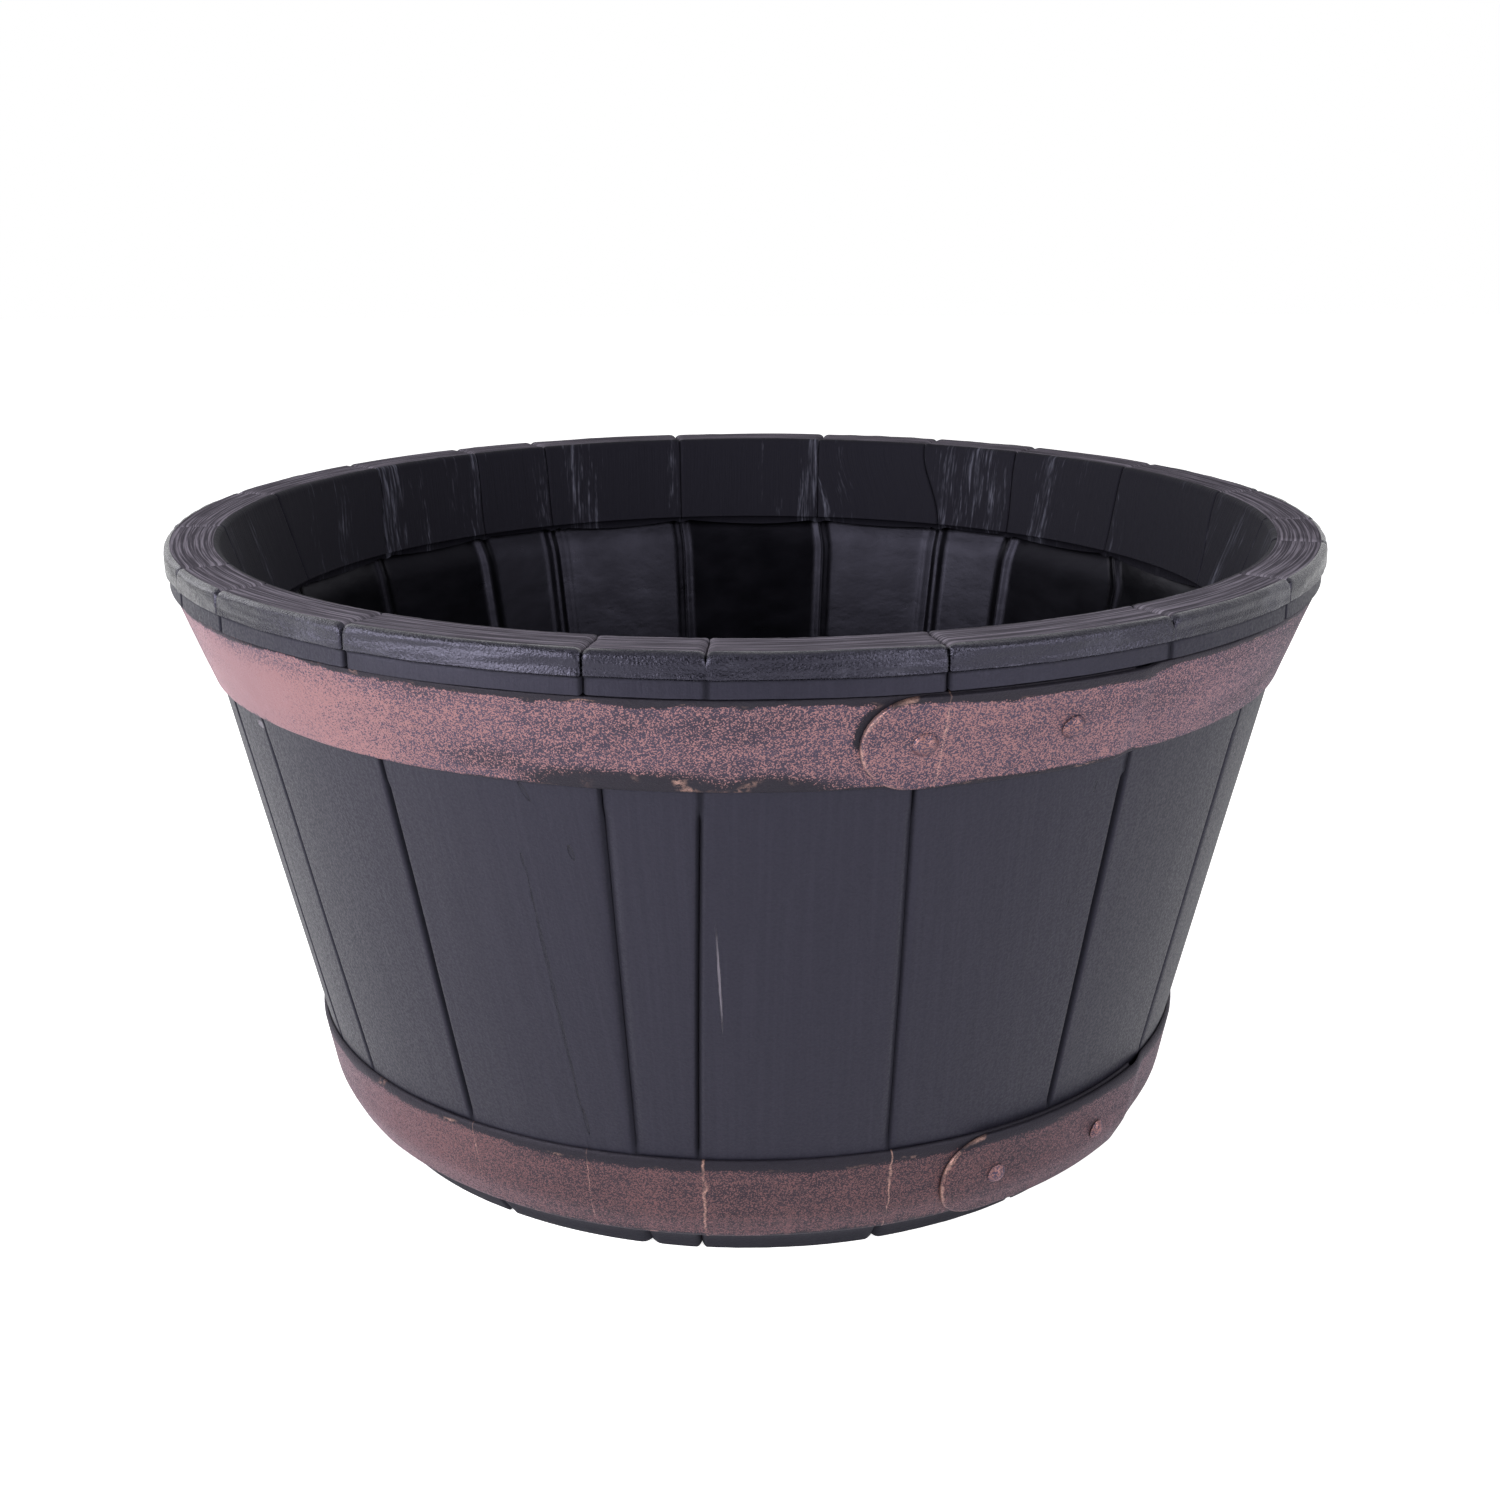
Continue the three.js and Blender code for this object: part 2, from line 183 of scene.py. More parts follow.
def apply_modifier(piece: bpy.types.Object, kind: str, **settings: object) -> None:
    """Adds a modifier to a piece and applies it.

    Args:
        piece: The object to change.
        kind: The modifier's type, such as BEVEL.
        settings: The modifier's own settings.
    """
    make_active(piece)
    modifier = piece.modifiers.new(kind.lower(), kind)
    for key, value in settings.items():
        setattr(modifier, key, value)
    bpy.ops.object.modifier_apply(modifier=modifier.name)


def smooth_faces(piece: bpy.types.Object, angle: float) -> None:
    """Shades a piece smooth, apart from edges sharper than an angle in degrees."""
    make_active(piece)
    bpy.ops.object.shade_smooth_by_angle(angle=math.radians(angle))


def face_outwards(piece: bpy.types.Object) -> None:
    """Merges doubles and turns every face of a closed piece outwards."""
    make_active(piece)
    bpy.ops.object.mode_set(mode="EDIT")
    bpy.ops.mesh.select_all(action="SELECT")
    bpy.ops.mesh.remove_doubles(threshold=1e-6)
    bpy.ops.mesh.normals_make_consistent(inside=False)
    bpy.ops.object.mode_set(mode="OBJECT")


def draw_path(points: list[Triple]) -> bpy.types.Object:
    """Draws a path of edges by extruding a single vertex.

    Args:
        points: The path's corners in order.

    Returns:
        The new object, still in edit mode and with the whole path selected.
    """
    deselect_all()
    bpy.ops.mesh.primitive_plane_add(size=MM, location=ORIGIN)
    piece = bpy.context.active_object
    bpy.ops.object.mode_set(mode="EDIT")
    bpy.ops.mesh.merge(type="CENTER")
    bpy.ops.transform.translate(value=points[0])
    for before, point in zip(points, points[1:]):
        step = tuple(end - start for start, end in zip(before, point))
        bpy.ops.mesh.extrude_region_move(TRANSFORM_OT_translate={"value": step})
    bpy.ops.mesh.select_all(action="SELECT")
    return piece


def turn_on_lathe(name: str, section: list[Point], steps: int) -> bpy.types.Object:
    """Models a round piece by spinning half of its section about +Z.

    Args:
        name: The piece's name.
        section: Radius and height of its corners, from the axis round to the axis.
        steps: How many faces go round it.

    Returns:
        The closed piece.
    """
    piece = draw_path([(radius, 0.0, height) for radius, height in section])
    bpy.ops.mesh.spin(steps=steps, angle=FULL_TURN, center=ORIGIN, axis=(0.0, 0.0, 1.0))
    bpy.ops.object.mode_set(mode="OBJECT")
    piece.name = name
    face_outwards(piece)
    return piece


def dress(piece: bpy.types.Object, node: str, finishes: list[bpy.types.Material],
          crease: float) -> None:
    """Finishes a piece and puts it in the place of a node of the frame.

    Args:
        piece: The modelled object, with its place in its mesh.
        node: The node that it stands for.
        finishes: Its materials in order.
        crease: The angle in degrees above which an edge stays sharp.
    """
    for finish in finishes:
        piece.data.materials.append(finish)
    smooth_faces(piece, crease)
    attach(piece, BODY)
    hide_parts(node)
    LOG.info("dressed %s", node)


# ------------------------------------------------------------------ shader tools


class Graph:
    """Adds nodes to one node tree."""

    def __init__(self, tree: bpy.types.NodeTree) -> None:
        """Keeps the tree that nodes go into."""
        self.tree = tree

    def feed(self, node: bpy.types.Node, inputs: dict) -> bpy.types.Node:
        """Links sockets to a node's inputs and sets constants on them.

        Args:
            node: The node to feed.
            inputs: Values or sockets by input name or number.

        Returns:
            The same node.
        """
        for key, value in inputs.items():
            if isinstance(value, bpy.types.NodeSocket):
                self.tree.links.new(value, node.inputs[key])
            else:
                node.inputs[key].default_value = value
        return node

    def add(self, kind: str, inputs: dict | None = None, **settings: object) -> bpy.types.Node:
        """Adds a node, sets it up and feeds its inputs.

        Args:
            kind: The node's type without its Shader prefix, such as NodeTexNoise.
            inputs: Values or sockets by input name or number.
            settings: The node's own settings.

        Returns:
            The new node.
        """
        node = self.tree.nodes.new("Shader" + kind)
        for key, value in settings.items():
            setattr(node, key, value)
        return self.feed(node, inputs or {})

    def place(self, group: bpy.types.NodeTree, inputs: dict) -> Sockets:
        """Places a node group with its own values, and returns its outputs."""
        return self.add("NodeGroup", inputs, node_tree=group).outputs

    def math(self, operation: str, first: object, second: object = 0.0) -> Socket:
        """Returns the result of a Math node."""
        return self.add("NodeMath", {0: first, 1: second}, operation=operation).outputs[0]

    def plus(self, first: object, second: object) -> Socket:
        """Returns the sum of two values."""
        return self.math("ADD", first, second)

    def minus(self, first: object, second: object) -> Socket:
        """Returns the first value less the second."""
        return self.math("SUBTRACT", first, second)

    def times(self, first: object, second: object) -> Socket:
        """Returns the product of two values."""
        return self.math("MULTIPLY", first, second)

    def greater(self, first: object, second: object) -> Socket:
        """Returns the greater of two values."""
        return self.math("MAXIMUM", first, second)

    def centred(self, value: object, reach: object) -> Socket:
        """Returns a 0 to 1 value moved to run half of reach to either side of 0."""
        return self.times(self.minus(value, 0.5), reach)

    def mix(self, share: object, first: object, second: object) -> Socket:
        """Returns a mix of two colours."""
        node = self.add("NodeMix", {0: share, 6: first, 7: second}, data_type="RGBA")
        return node.outputs[2]

    def mix_value(self, share: object, first: object, second: float) -> Socket:
        """Returns a value a share of the way from the first to the second."""
        return self.plus(first, self.times(self.minus(second, first), share))

    def between(self, value: object, low: float, high: float) -> Socket:
        """Returns 0 at low and 1 at high, with a soft step between them."""
        inputs = {0: value, 1: low, 2: high, 3: 0.0, 4: 1.0}
        return self.add("NodeMapRange", inputs, interpolation_type="SMOOTHSTEP").outputs[0]

    def scaled(self, value: object, low: float, high: float) -> Socket:
        """Returns a 0 to 1 value stretched to run from low to high."""
        inputs = {0: value, 1: 0.0, 2: 1.0, 3: low, 4: high}
        return self.add("NodeMapRange", inputs).outputs[0]

    def noise(self, vector: object, scale: object, detail: float = 2.0,
              roughness: float = 0.5) -> Socket:
        """Returns noise between 0 and 1."""
        inputs = {"Vector": vector, "Scale": scale, "Detail": detail, "Roughness": roughness}
        return self.add("NodeTexNoise", inputs).outputs[0]

    def patches(self, vector: object, scale: float, low: float, high: float) -> Socket:
        """Returns soft patches where noise rises from low to high."""
        return self.between(self.noise(vector, scale), low, high)

    def stretched(self, vector: object, scale: Triple) -> Socket:
        """Returns coordinates scaled along each axis."""
        return self.add("NodeMapping", {"Vector": vector, "Scale": scale}).outputs[0]

    def part_of(self, vector: object, axis: str) -> Socket:
        """Returns one part of a vector or colour: X, Y or Z."""
        return self.add("NodeSeparateXYZ", {0: vector}).outputs[axis]


def opaque(colour: Colour) -> tuple[float, float, float, float]:
    """Returns a colour with full alpha."""
    return (*colour, 1.0)


def new_group(name: str, inputs: dict[str, object],
              outputs: dict[str, str]) -> tuple[Graph, Sockets, bpy.types.Node]:
    """Starts a shader node group.

    Args:
        name: The group's name.
        inputs: Default values by input name: a number, or a tuple for a vector or colour.
        outputs: Socket kinds by output name: Float or Color.

    Returns:
        The group's graph, the sockets that its inputs arrive at, and its output node.
    """
    tree = bpy.data.node_groups.new(name, "ShaderNodeTree")
    for label, value in inputs.items():
        kind = "Float"
        if isinstance(value, tuple):
            kind = "Color" if len(value) == 4 else "Vector"
        socket = tree.interface.new_socket(label, in_out="INPUT", socket_type=f"NodeSocket{kind}")
        socket.default_value = value
    for label, kind in outputs.items():
        tree.interface.new_socket(label, in_out="OUTPUT", socket_type=f"NodeSocket{kind}")
    start = tree.nodes.new("NodeGroupInput")
    return Graph(tree), start.outputs, tree.nodes.new("NodeGroupOutput")


class Effects:
    """The surface effects that several finishes share, each one a node group."""

    def __init__(self) -> None:
        """Builds every group once."""
        self.pores = self.build_pores()
        self.grain = self.build_grain()
        self.scuffs = self.build_scuffs()
        self.patina = self.build_patina()
        self.mark = self.build_mark()

    @staticmethod
    def build_pores() -> bpy.types.NodeTree:
        """Builds fine round pores with a broad unevenness under them."""
        graph, given, end = new_group(
            "fine_pores",
            {"Vector": ORIGIN, "Pores per metre": 900.0, "Unevenness": 0.5},
            {"Height": "Float", "Mask": "Float"})
        fine = graph.noise(given["Vector"], given["Pores per metre"], detail=3.0, roughness=0.6)
        broad = graph.noise(given["Vector"], scale=45.0, detail=3.0)
        graph.feed(end, {"Height": graph.plus(fine, graph.times(broad, given["Unevenness"])),
                         "Mask": graph.between(fine, 0.35, 0.65)})
        return graph.tree

    @staticmethod
    def build_grain() -> bpy.types.NodeTree:
        """Builds long wood grain along one direction of the grain map."""
        graph, given, end = new_group(
            "long_grain",
            {"Vector": ORIGIN, "Lines": (600.0, 12.0, 1.0)},
            {"Height": "Float", "Mask": "Float"})
        inputs = {0: given["Vector"], 1: given["Lines"]}
        lines = graph.add("NodeVectorMath", inputs, operation="MULTIPLY").outputs[0]
        fibres = graph.noise(lines, scale=1.0, detail=4.0, roughness=0.65)
        waves = graph.noise(lines, scale=0.23)
        graph.feed(end, {"Height": graph.plus(fibres, graph.times(waves, 0.8)),
                         "Mask": graph.between(fibres, 0.42, 0.66)})
        return graph.tree

    @staticmethod
    def build_scuffs() -> bpy.types.NodeTree:
        """Builds rubbed patches inside an area, torn at their edges."""
        graph, given, end = new_group(
            "scuffs",
            {"Vector": ORIGIN, "Area": 1.0, "Amount": 0.5, "Grit per metre": 700.0},
            {"Mask": "Float"})
        patches = graph.noise(given["Vector"], scale=38.0, detail=3.0, roughness=0.6)
        grit = graph.noise(given["Vector"], given["Grit per metre"], roughness=0.7)
        torn = graph.plus(graph.times(patches, 0.65), graph.times(grit, 0.35))
        reach = graph.minus(graph.plus(torn, given["Amount"]), 1.0)
        graph.feed(end, {"Mask": graph.times(graph.between(reach, -0.04, 0.1), given["Area"])})
        return graph.tree

    @staticmethod
    def build_mark() -> bpy.types.NodeTree:
        """Builds one long blot, torn at its edge, where the vector is shorter than 1."""
        graph, given, end = new_group(
            "worn_mark", {"Vector": ORIGIN, "Torn": 0.5}, {"Mask": "Float"})
        length = graph.add("NodeVectorMath", {0: given["Vector"]}, operation="LENGTH")
        breaks = graph.noise(given["Vector"], scale=6.0)
        ragged = graph.centred(breaks, graph.times(given["Torn"], 3.0))
        total = graph.plus(length.outputs["Value"], ragged)
        graph.feed(end, {"Mask": graph.between(total, 1.0, 0.6)})
        return graph.tree

    @staticmethod
    def build_patina() -> bpy.types.NodeTree:
        """Builds copper specks over a dark ground, denser in clouds and thin where the copper is
        missing or a shadow is painted.
        """
        graph, given, end = new_group(
            "copper_patina",
            {"Vector": ORIGIN, "Streaks": ORIGIN, "Bare and painted light": 0.0,
             "Cover": 0.5, "Specks per metre": 900.0,
             "Copper": (0.5, 0.2, 0.12, 1.0), "Bloom": (0.3, 0.2, 0.25, 1.0),
             "Ground": (0.05, 0.04, 0.05, 1.0)},
            {"Color": "Color", "Mask": "Float", "Height": "Float"})
        cells = graph.add("NodeTexVoronoi", {
            "Vector": given["Vector"], "Scale": given["Specks per metre"]})
        speck = graph.part_of(cells.outputs["Color"], "X")
        cover = given["Cover"]
        for vector, scale in ((given["Vector"], 22.0), (given["Streaks"], 1.0)):
            clouds = graph.noise(vector, scale, detail=3.0, roughness=0.6)
            cover = graph.plus(cover, graph.centred(clouds, 0.5))
        cover = graph.minus(cover, given["Bare and painted light"])
        level = graph.plus(graph.minus(speck, 0.5), cover)
        mask = graph.between(level, 0.40, 0.60)
        base = graph.mix(graph.between(cover, 0.05, 0.5), given["Ground"], given["Bloom"])
        graph.feed(end, {"Color": graph.mix(mask, base, given["Copper"]), "Mask": mask,
                         "Height": speck})
        return graph.tree


# ------------------------------------------------------------------ finishes


@dataclass(frozen=True)
class Finish:
    """What every material has: a Principled shader with its own constants, and a bump.

    Unevenness is what the ends of a mask add to the roughness. Relief is the depth of a height
    of 1, in metres.
    """

    name: str
    colour: Colour
    roughness: float = 0.5
    unevenness: Point = (0.0, 0.0)
    metallic: float = 0.0
    specular: float = 0.5
    reflection: Colour = (0.75, 0.72, 1.0)
    relief: float = 0.25 * MM

    def look(self, graph: Graph, effects: Effects) -> dict[str, Socket]:
        """Works out what varies over the surface.

        Args:
            graph: The material's graph.
            effects: The shared node groups.

        Returns:
            The sockets that drive the shader's inputs, and the bump's Height.
        """
        raise NotImplementedError

    def uneven(self, graph: Graph, mask: object) -> Socket:
        """Returns a roughness that varies with a mask."""
        low, high = self.unevenness
        return graph.scaled(mask, self.roughness + low, self.roughness + high)

    def build(self, effects: Effects) -> bpy.types.Material:
        """Returns the finished material."""
        material = bpy.data.materials.new(self.name)
        material.use_nodes = True
        material.diffuse_color = opaque(self.colour)
        graph = Graph(material.node_tree)
        shader = material.node_tree.nodes["Principled BSDF"]
        graph.feed(shader, {
            "Base Color": opaque(self.colour), "Roughness": self.roughness,
            "Metallic": self.metallic, "Specular IOR Level": self.specular,
            "Specular Tint": opaque(self.reflection)})
        look = self.look(graph, effects)
        bump = graph.add("NodeBump", {
            "Height": look.pop("Height"), "Distance": self.relief, "Strength": 1.0})
        graph.feed(shader, {**look, "Normal": bump.outputs[0]})
        return material


def grain_coordinates(graph: Graph) -> Socket:
    """Returns the piece's own grain map, in metres across and along the stave."""
    return graph.add("NodeUVMap", uv_map=GRAIN_MAP).outputs[0]


def object_coordinates(graph: Graph) -> Socket:
    """Returns the place in the tub's own frame."""
    return graph.add("NodeTexCoord").outputs["Object"]


def attribute(graph: Graph, name: str) -> Socket:
    """Returns a value painted on the mesh."""
    return graph.add("NodeAttribute", attribute_name=name).outputs["Fac"]


@dataclass(frozen=True)
class Mark:
    """A small mark on the outside of the staves.

    Azimuth and lean are in degrees, height is that of its middle, and width and length are half
    of its size. Depth is above 0 for a dark cut and below 0 for a pale rubbed spot. The wall that
    it lies on has a radius at the ground and a flare, and it reaches some way into that wall.
    """

    azimuth: float
    height: float
    width: float
    length: float
    lean: float = 0.0
    depth: float = 1.0
    torn: float = 0.3
    wall_radius: float = 0.1848
    wall_flare: float = 0.2212
    reach: float = 0.03

    def mask(self, graph: Graph, effects: Effects, place: Socket) -> Socket:
        """Returns the mark's mask in a material."""
        azimuth = math.radians(self.azimuth)
        middle = on_ring(self.wall_radius + self.wall_flare * self.height, azimuth, self.height)
        local = graph.add("NodeMapping", {
            "Vector": place, "Location": tuple(middle),
            "Rotation": (0.0, math.radians(self.lean), azimuth),
            "Scale": (self.width, self.reach, self.length)}, vector_type="TEXTURE")
        return graph.place(effects.mark, {"Vector": local.outputs[0], "Torn": self.torn})["Mask"]


@dataclass(frozen=True)
class CharcoalStain(Finish):
    """Satin charcoal stain on the outside of the staves, with faint upright grain and painted shade.
    """

    name: str = "charcoal_stain"
    colour: Colour = (0.0072, 0.0068, 0.0112)
    worn: Colour = (0.018, 0.017, 0.026)
    worn_share: float = 0.22
    # The dark colour of cut marks, which also paints shade into the joints and round the foot.
    cut_and_shade: Colour = (0.004, 0.004, 0.006)
    pale: Colour = (0.15, 0.135, 0.16)
    specular: float = 0.38
    roughness: float = 0.46
    unevenness: Point = (-0.06, 0.12)
    shade_mask_roughness: float = 0.95
    grain_lines: Triple = (420.0, 9.0, 1.0)
    pore_height: float = 0.6
    grain_height: float = 0.5
    mark_height: float = -2.4
    mark_share: float = 0.75
    marks: tuple[Mark, ...] = (
        Mark(-19.7, 0.2072, 0.0010, 0.0048, -24.0),
        Mark(-15.9, 0.1840, 0.0011, 0.0036, -14.0),
        Mark(-20.9, 0.1790, 0.0006, 0.0030, -6.0),
        Mark(-19.6, 0.1200, 0.0007, 0.0560, -4.5, 0.6, 0.9),
        Mark(-18.1, 0.0640, 0.0008, 0.0070, -6.0),
        Mark(-2.6, 0.1335, 0.0006, 0.0240, -2.0, -0.6, 0.5),
        Mark(-55.4, 0.2066, 0.0050, 0.0022, 0.0, -1.0, 0.5),
        Mark(33.9, 0.1990, 0.0005, 0.0028, 3.0),
        Mark(33.7, 0.1500, 0.0005, 0.0022, 3.0),
    )

    def look(self, graph: Graph, effects: Effects) -> dict[str, Socket]:
        """Returns the stain with its marks, and painted shade darkening the joints and the foot."""
        place = object_coordinates(graph)
        pores = graph.place(effects.pores, {"Vector": place, "Unevenness": 0.6})
        grain = graph.place(effects.grain, {
            "Vector": grain_coordinates(graph), "Lines": self.grain_lines})
        tone = graph.times(grain["Mask"], self.worn_share)
        tint = graph.mix(tone, opaque(self.colour), opaque(self.worn))
        height = graph.plus(graph.times(pores["Height"], self.pore_height),
                            graph.times(grain["Height"], self.grain_height))
        for mark in self.marks:
            mask = mark.mask(graph, effects, place)
            height = graph.plus(height, graph.times(mask, self.mark_height * mark.depth))
            share = graph.times(mask, self.mark_share)
            tint = graph.mix(share, tint, opaque(self.cut_and_shade if mark.depth > 0.0 else self.pale))
        # Painted shade: this attribute darkens the stain in the joint grooves and round the foot.
        joint_and_foot_shade = attribute(graph, "rub_and_shade")
        rough = graph.mix_value(joint_and_foot_shade, self.uneven(graph, pores["Mask"]), self.shade_mask_roughness)
        return {"Base Color": graph.mix(joint_and_foot_shade, tint, opaque(self.cut_and_shade)), "Roughness": rough,
                "Height": height}


@dataclass(frozen=True)
class ScuffedEdge(Finish):
    """The upper tier of the lip: glossy black with long swells, rubbed faintly in torn patches."""

    name: str = "scuffed_edge"
    colour: Colour = (0.0012, 0.0012, 0.002)
    rubbed: Colour = (0.16, 0.16, 0.21)
    rubbed_share: float = 0.14
    roughness: float = 0.15
    unevenness: Point = (-0.08, 0.14)
    specular: float = 0.54
    relief: float = 1.0 * MM
    pore_height: float = 0.35
    swell_height: float = 2.4
    swell_lines: Triple = (16.0, 150.0, 1.0)

    def look(self, graph: Graph, effects: Effects) -> dict[str, Socket]:
        """Returns the gloss, its scuffs and its swells."""
        place = object_coordinates(graph)
        pores = graph.place(effects.pores, {
            "Vector": place, "Pores per metre": 1100.0, "Unevenness": 1.0})
        scuffs = graph.place(effects.scuffs, {
            "Vector": place, "Area": attribute(graph, "rub_and_shade"), "Amount": 0.45})
        tint = graph.mix(graph.times(scuffs["Mask"], self.rubbed_share),
                         opaque(self.colour), opaque(self.rubbed))
        lines = graph.stretched(grain_coordinates(graph), self.swell_lines)
        swells = graph.noise(lines, scale=1.0, detail=1.5)
        height = graph.plus(graph.times(pores["Height"], self.pore_height),
                            graph.times(swells, self.swell_height))
        return {"Base Color": tint, "Roughness": self.uneven(graph, pores["Mask"]),
                "Height": height}


@dataclass(frozen=True)
class SawnTop(Finish):
    """The flat top of the rim, matt dark grey, with fine grain running round the tub."""

    name: str = "sawn_top"
    colour: Colour = (0.066, 0.060, 0.074)
    fibre: Colour = (0.220, 0.198, 0.242)
    roughness: float = 0.7
    specular: float = 0.0
    relief: float = 0.35 * MM
    grain_lines: Triple = (16.0, 900.0, 1.0)
    pore_height: float = 0.4

    def look(self, graph: Graph, effects: Effects) -> dict[str, Socket]:
        """Returns the grain, paler on its fibres."""
        place = object_coordinates(graph)
        pores = graph.place(effects.pores, {"Vector": place, "Unevenness": 0.4})
        grain = graph.place(effects.grain, {
            "Vector": grain_coordinates(graph), "Lines": self.grain_lines})
        tint = graph.mix(grain["Mask"], opaque(self.colour), opaque(self.fibre))
        height = graph.plus(graph.times(pores["Height"], self.pore_height), grain["Height"])
        return {"Base Color": tint, "Height": height}


@dataclass(frozen=True)
class MattBand(Finish):
    """The band inside the stave heads, matt black with upright grain and pale flecks."""

    name: str = "matt_band"
    colour: Colour = (0.0022, 0.002, 0.0034)
    fleck: Colour = (0.09, 0.09, 0.12)
    roughness: float = 0.75
    specular: float = 0.25
    relief: float = 0.35 * MM
    grain_lines: Triple = (520.0, 22.0, 1.0)
    fleck_stretch: Triple = (1.0, 0.12, 1.0)

    def look(self, graph: Graph, effects: Effects) -> dict[str, Socket]:
        """Returns the grain and its flecks."""
        across = grain_coordinates(graph)
        grain = graph.place(effects.grain, {"Vector": across, "Lines": self.grain_lines})
        scuffs = graph.place(effects.scuffs, {
            "Vector": graph.stretched(across, self.fleck_stretch), "Amount": 0.42})
        flecks = graph.times(scuffs["Mask"], grain["Mask"])
        tint = graph.mix(flecks, opaque(self.colour), opaque(self.fleck))
        return {"Base Color": tint, "Height": grain["Height"]}


@dataclass(frozen=True)
class BlackPitch(Finish):
    """Glossy black pitch on the inside of the walls and on the bottom."""

    name: str = "black_pitch"
    colour: Colour = (0.0004, 0.0004, 0.0007)
    roughness: float = 0.26
    unevenness: Point = (-0.06, 0.2)
    specular: float = 0.17
    crinkle_stretch: Triple = (1.0, 1.0, 1.6)
    sag_stretch: Triple = (1.0, 1.0, 0.4)
    sag_height: float = 1.5

    def look(self, graph: Graph, effects: Effects) -> dict[str, Socket]:
        """Returns fine crinkles over long sags."""
        place = object_coordinates(graph)
        crinkle = graph.noise(graph.stretched(place, self.crinkle_stretch),
                              scale=60.0, detail=4.0, roughness=0.55)
        sags = graph.noise(graph.stretched(place, self.sag_stretch), scale=18.0)
        return {"Roughness": self.uneven(graph, crinkle),
                "Height": graph.plus(crinkle, graph.times(sags, self.sag_height))}


@dataclass(frozen=True)
class CopperHoop(Finish):
    """Speckled copper patina on a hoop or rivet.

    The patches are noise: its scale, and the levels that it fades in between. The edges are the
    values of a mask where the rubbed copper begins and where it is full.
    """

    name: str = "upper_copper"
    colour: Colour = (0.30, 0.15, 0.13)
    copper: Colour = (0.300, 0.158, 0.160)
    bloom: Colour = (0.058, 0.045, 0.076)
    ground: Colour = (0.010, 0.009, 0.015)
    bright: Colour = (0.62, 0.37, 0.31)
    bright_share: float = 0.6
    cover: float = 0.30
    specks: float = 2400.0
    speck_height: float = 0.6
    streak_lines: Triple = (9.0, 60.0, 1.0)
    drips: float = 0.0
    drip_lines: Triple = (420.0, 26.0, 1.0)
    drip_edge: Point = (0.52, 0.66)
    drip_levels: Point = (0.002, -0.010)
    seam_lines: Triple = (30.0, 240.0, 1.0)
    seam_wander: float = 3.2
    seam_edge: Point = (0.9, 0.2)
    seam_patches: Triple = (140.0, 0.38, 0.58)
    rim_wander: float = 0.8
    rim_edge: Point = (0.55, 0.85)
    rim_patches: Triple = (110.0, 0.35, 0.60)
    torn_edge: Point = (0.19, 0.25)
    torn_grit: Point = (0.42, 0.56)
    torn_patches: Triple = (60.0, 0.54, 0.68)
    reflection: Colour = (0.95, 0.88, 1.0)
    roughness: float = 0.46
    unevenness: Point = (0.1, -0.08)
    metallic: float = 0.9
    relief: float = 0.3 * MM

    def rubbed(self, graph: Graph, grain: Socket, specks: Socket) -> Socket:
        """Returns where the copper is rubbed bright.

        Args:
            graph: The material's graph.
            grain: The strip's grain coordinates.
            specks: The height of the patina's specks.

        Returns:
            The mask of the creases, the rim of the round end and the torn edge of the copper.
        """
        wander = graph.noise(graph.stretched(grain, self.seam_lines), scale=1.0)
        aside = graph.plus(attribute(graph, "seam"), graph.centred(wander, self.seam_wander))
        seam = graph.between(graph.math("ABSOLUTE", aside), *self.seam_edge)
        seam = graph.times(seam, attribute(graph, "crease"))
        broken = graph.scaled(graph.patches(grain, *self.seam_patches), 0.25, 1.0)
        seam = graph.times(seam, broken)
        ragged = graph.noise(grain, scale=420.0, detail=3.0, roughness=0.6)
        rim = graph.plus(attribute(graph, "tip"), graph.centred(ragged, self.rim_wander))
        rim = graph.times(graph.between(rim, *self.rim_edge),
                          graph.patches(grain, *self.rim_patches))
        bare = attribute(graph, "bare")
        torn = graph.between(graph.times(bare, graph.minus(1.0, bare)), *self.torn_edge)
        torn = graph.times(torn, graph.patches(grain, *self.torn_patches))
        torn = graph.times(torn, graph.between(ragged, *self.torn_grit))
        total = graph.greater(graph.greater(seam, rim), torn)
        return graph.times(total, graph.scaled(specks, 0.35, 1.0))

    def drip_mask(self, graph: Graph, grain: Socket) -> Socket:
        """Returns where copper has run down the lower part of the strip."""
        runs = graph.noise(graph.stretched(grain, self.drip_lines),
                           scale=1.0, detail=3.0, roughness=0.6)
        low = graph.between(graph.part_of(grain, "Y"), *self.drip_levels)
        return graph.times(graph.times(graph.between(runs, *self.drip_edge), low), self.drips)

    def look(self, graph: Graph, effects: Effects) -> dict[str, Socket]:
        """Returns the patina, its drips and where it is rubbed bright."""
        place, grain = object_coordinates(graph), grain_coordinates(graph)
        patina = graph.place(effects.patina, {
            "Vector": place, "Streaks": graph.stretched(grain, self.streak_lines),
            "Bare and painted light": attribute(graph, "bare"), "Cover": self.cover,
            "Specks per metre": self.specks, "Copper": opaque(self.copper),
            "Bloom": opaque(self.bloom), "Ground": opaque(self.ground)})
        drips = self.drip_mask(graph, grain)
        tint = graph.mix(drips, patina["Color"], opaque(self.copper))
        rubbed = self.rubbed(graph, grain, patina["Height"])
        tint = graph.mix(graph.times(rubbed, self.bright_share), tint, opaque(self.bright))
        mask = graph.greater(patina["Mask"], rubbed)
        pores = graph.place(effects.pores, {"Vector": place, "Unevenness": 1.2})
        height = graph.plus(graph.times(patina["Height"], self.speck_height), pores["Height"])
        return {"Base Color": tint, "Roughness": self.uneven(graph, mask), "Height": height,
                "Metallic": graph.scaled(mask, 0.5 * self.metallic, self.metallic)}


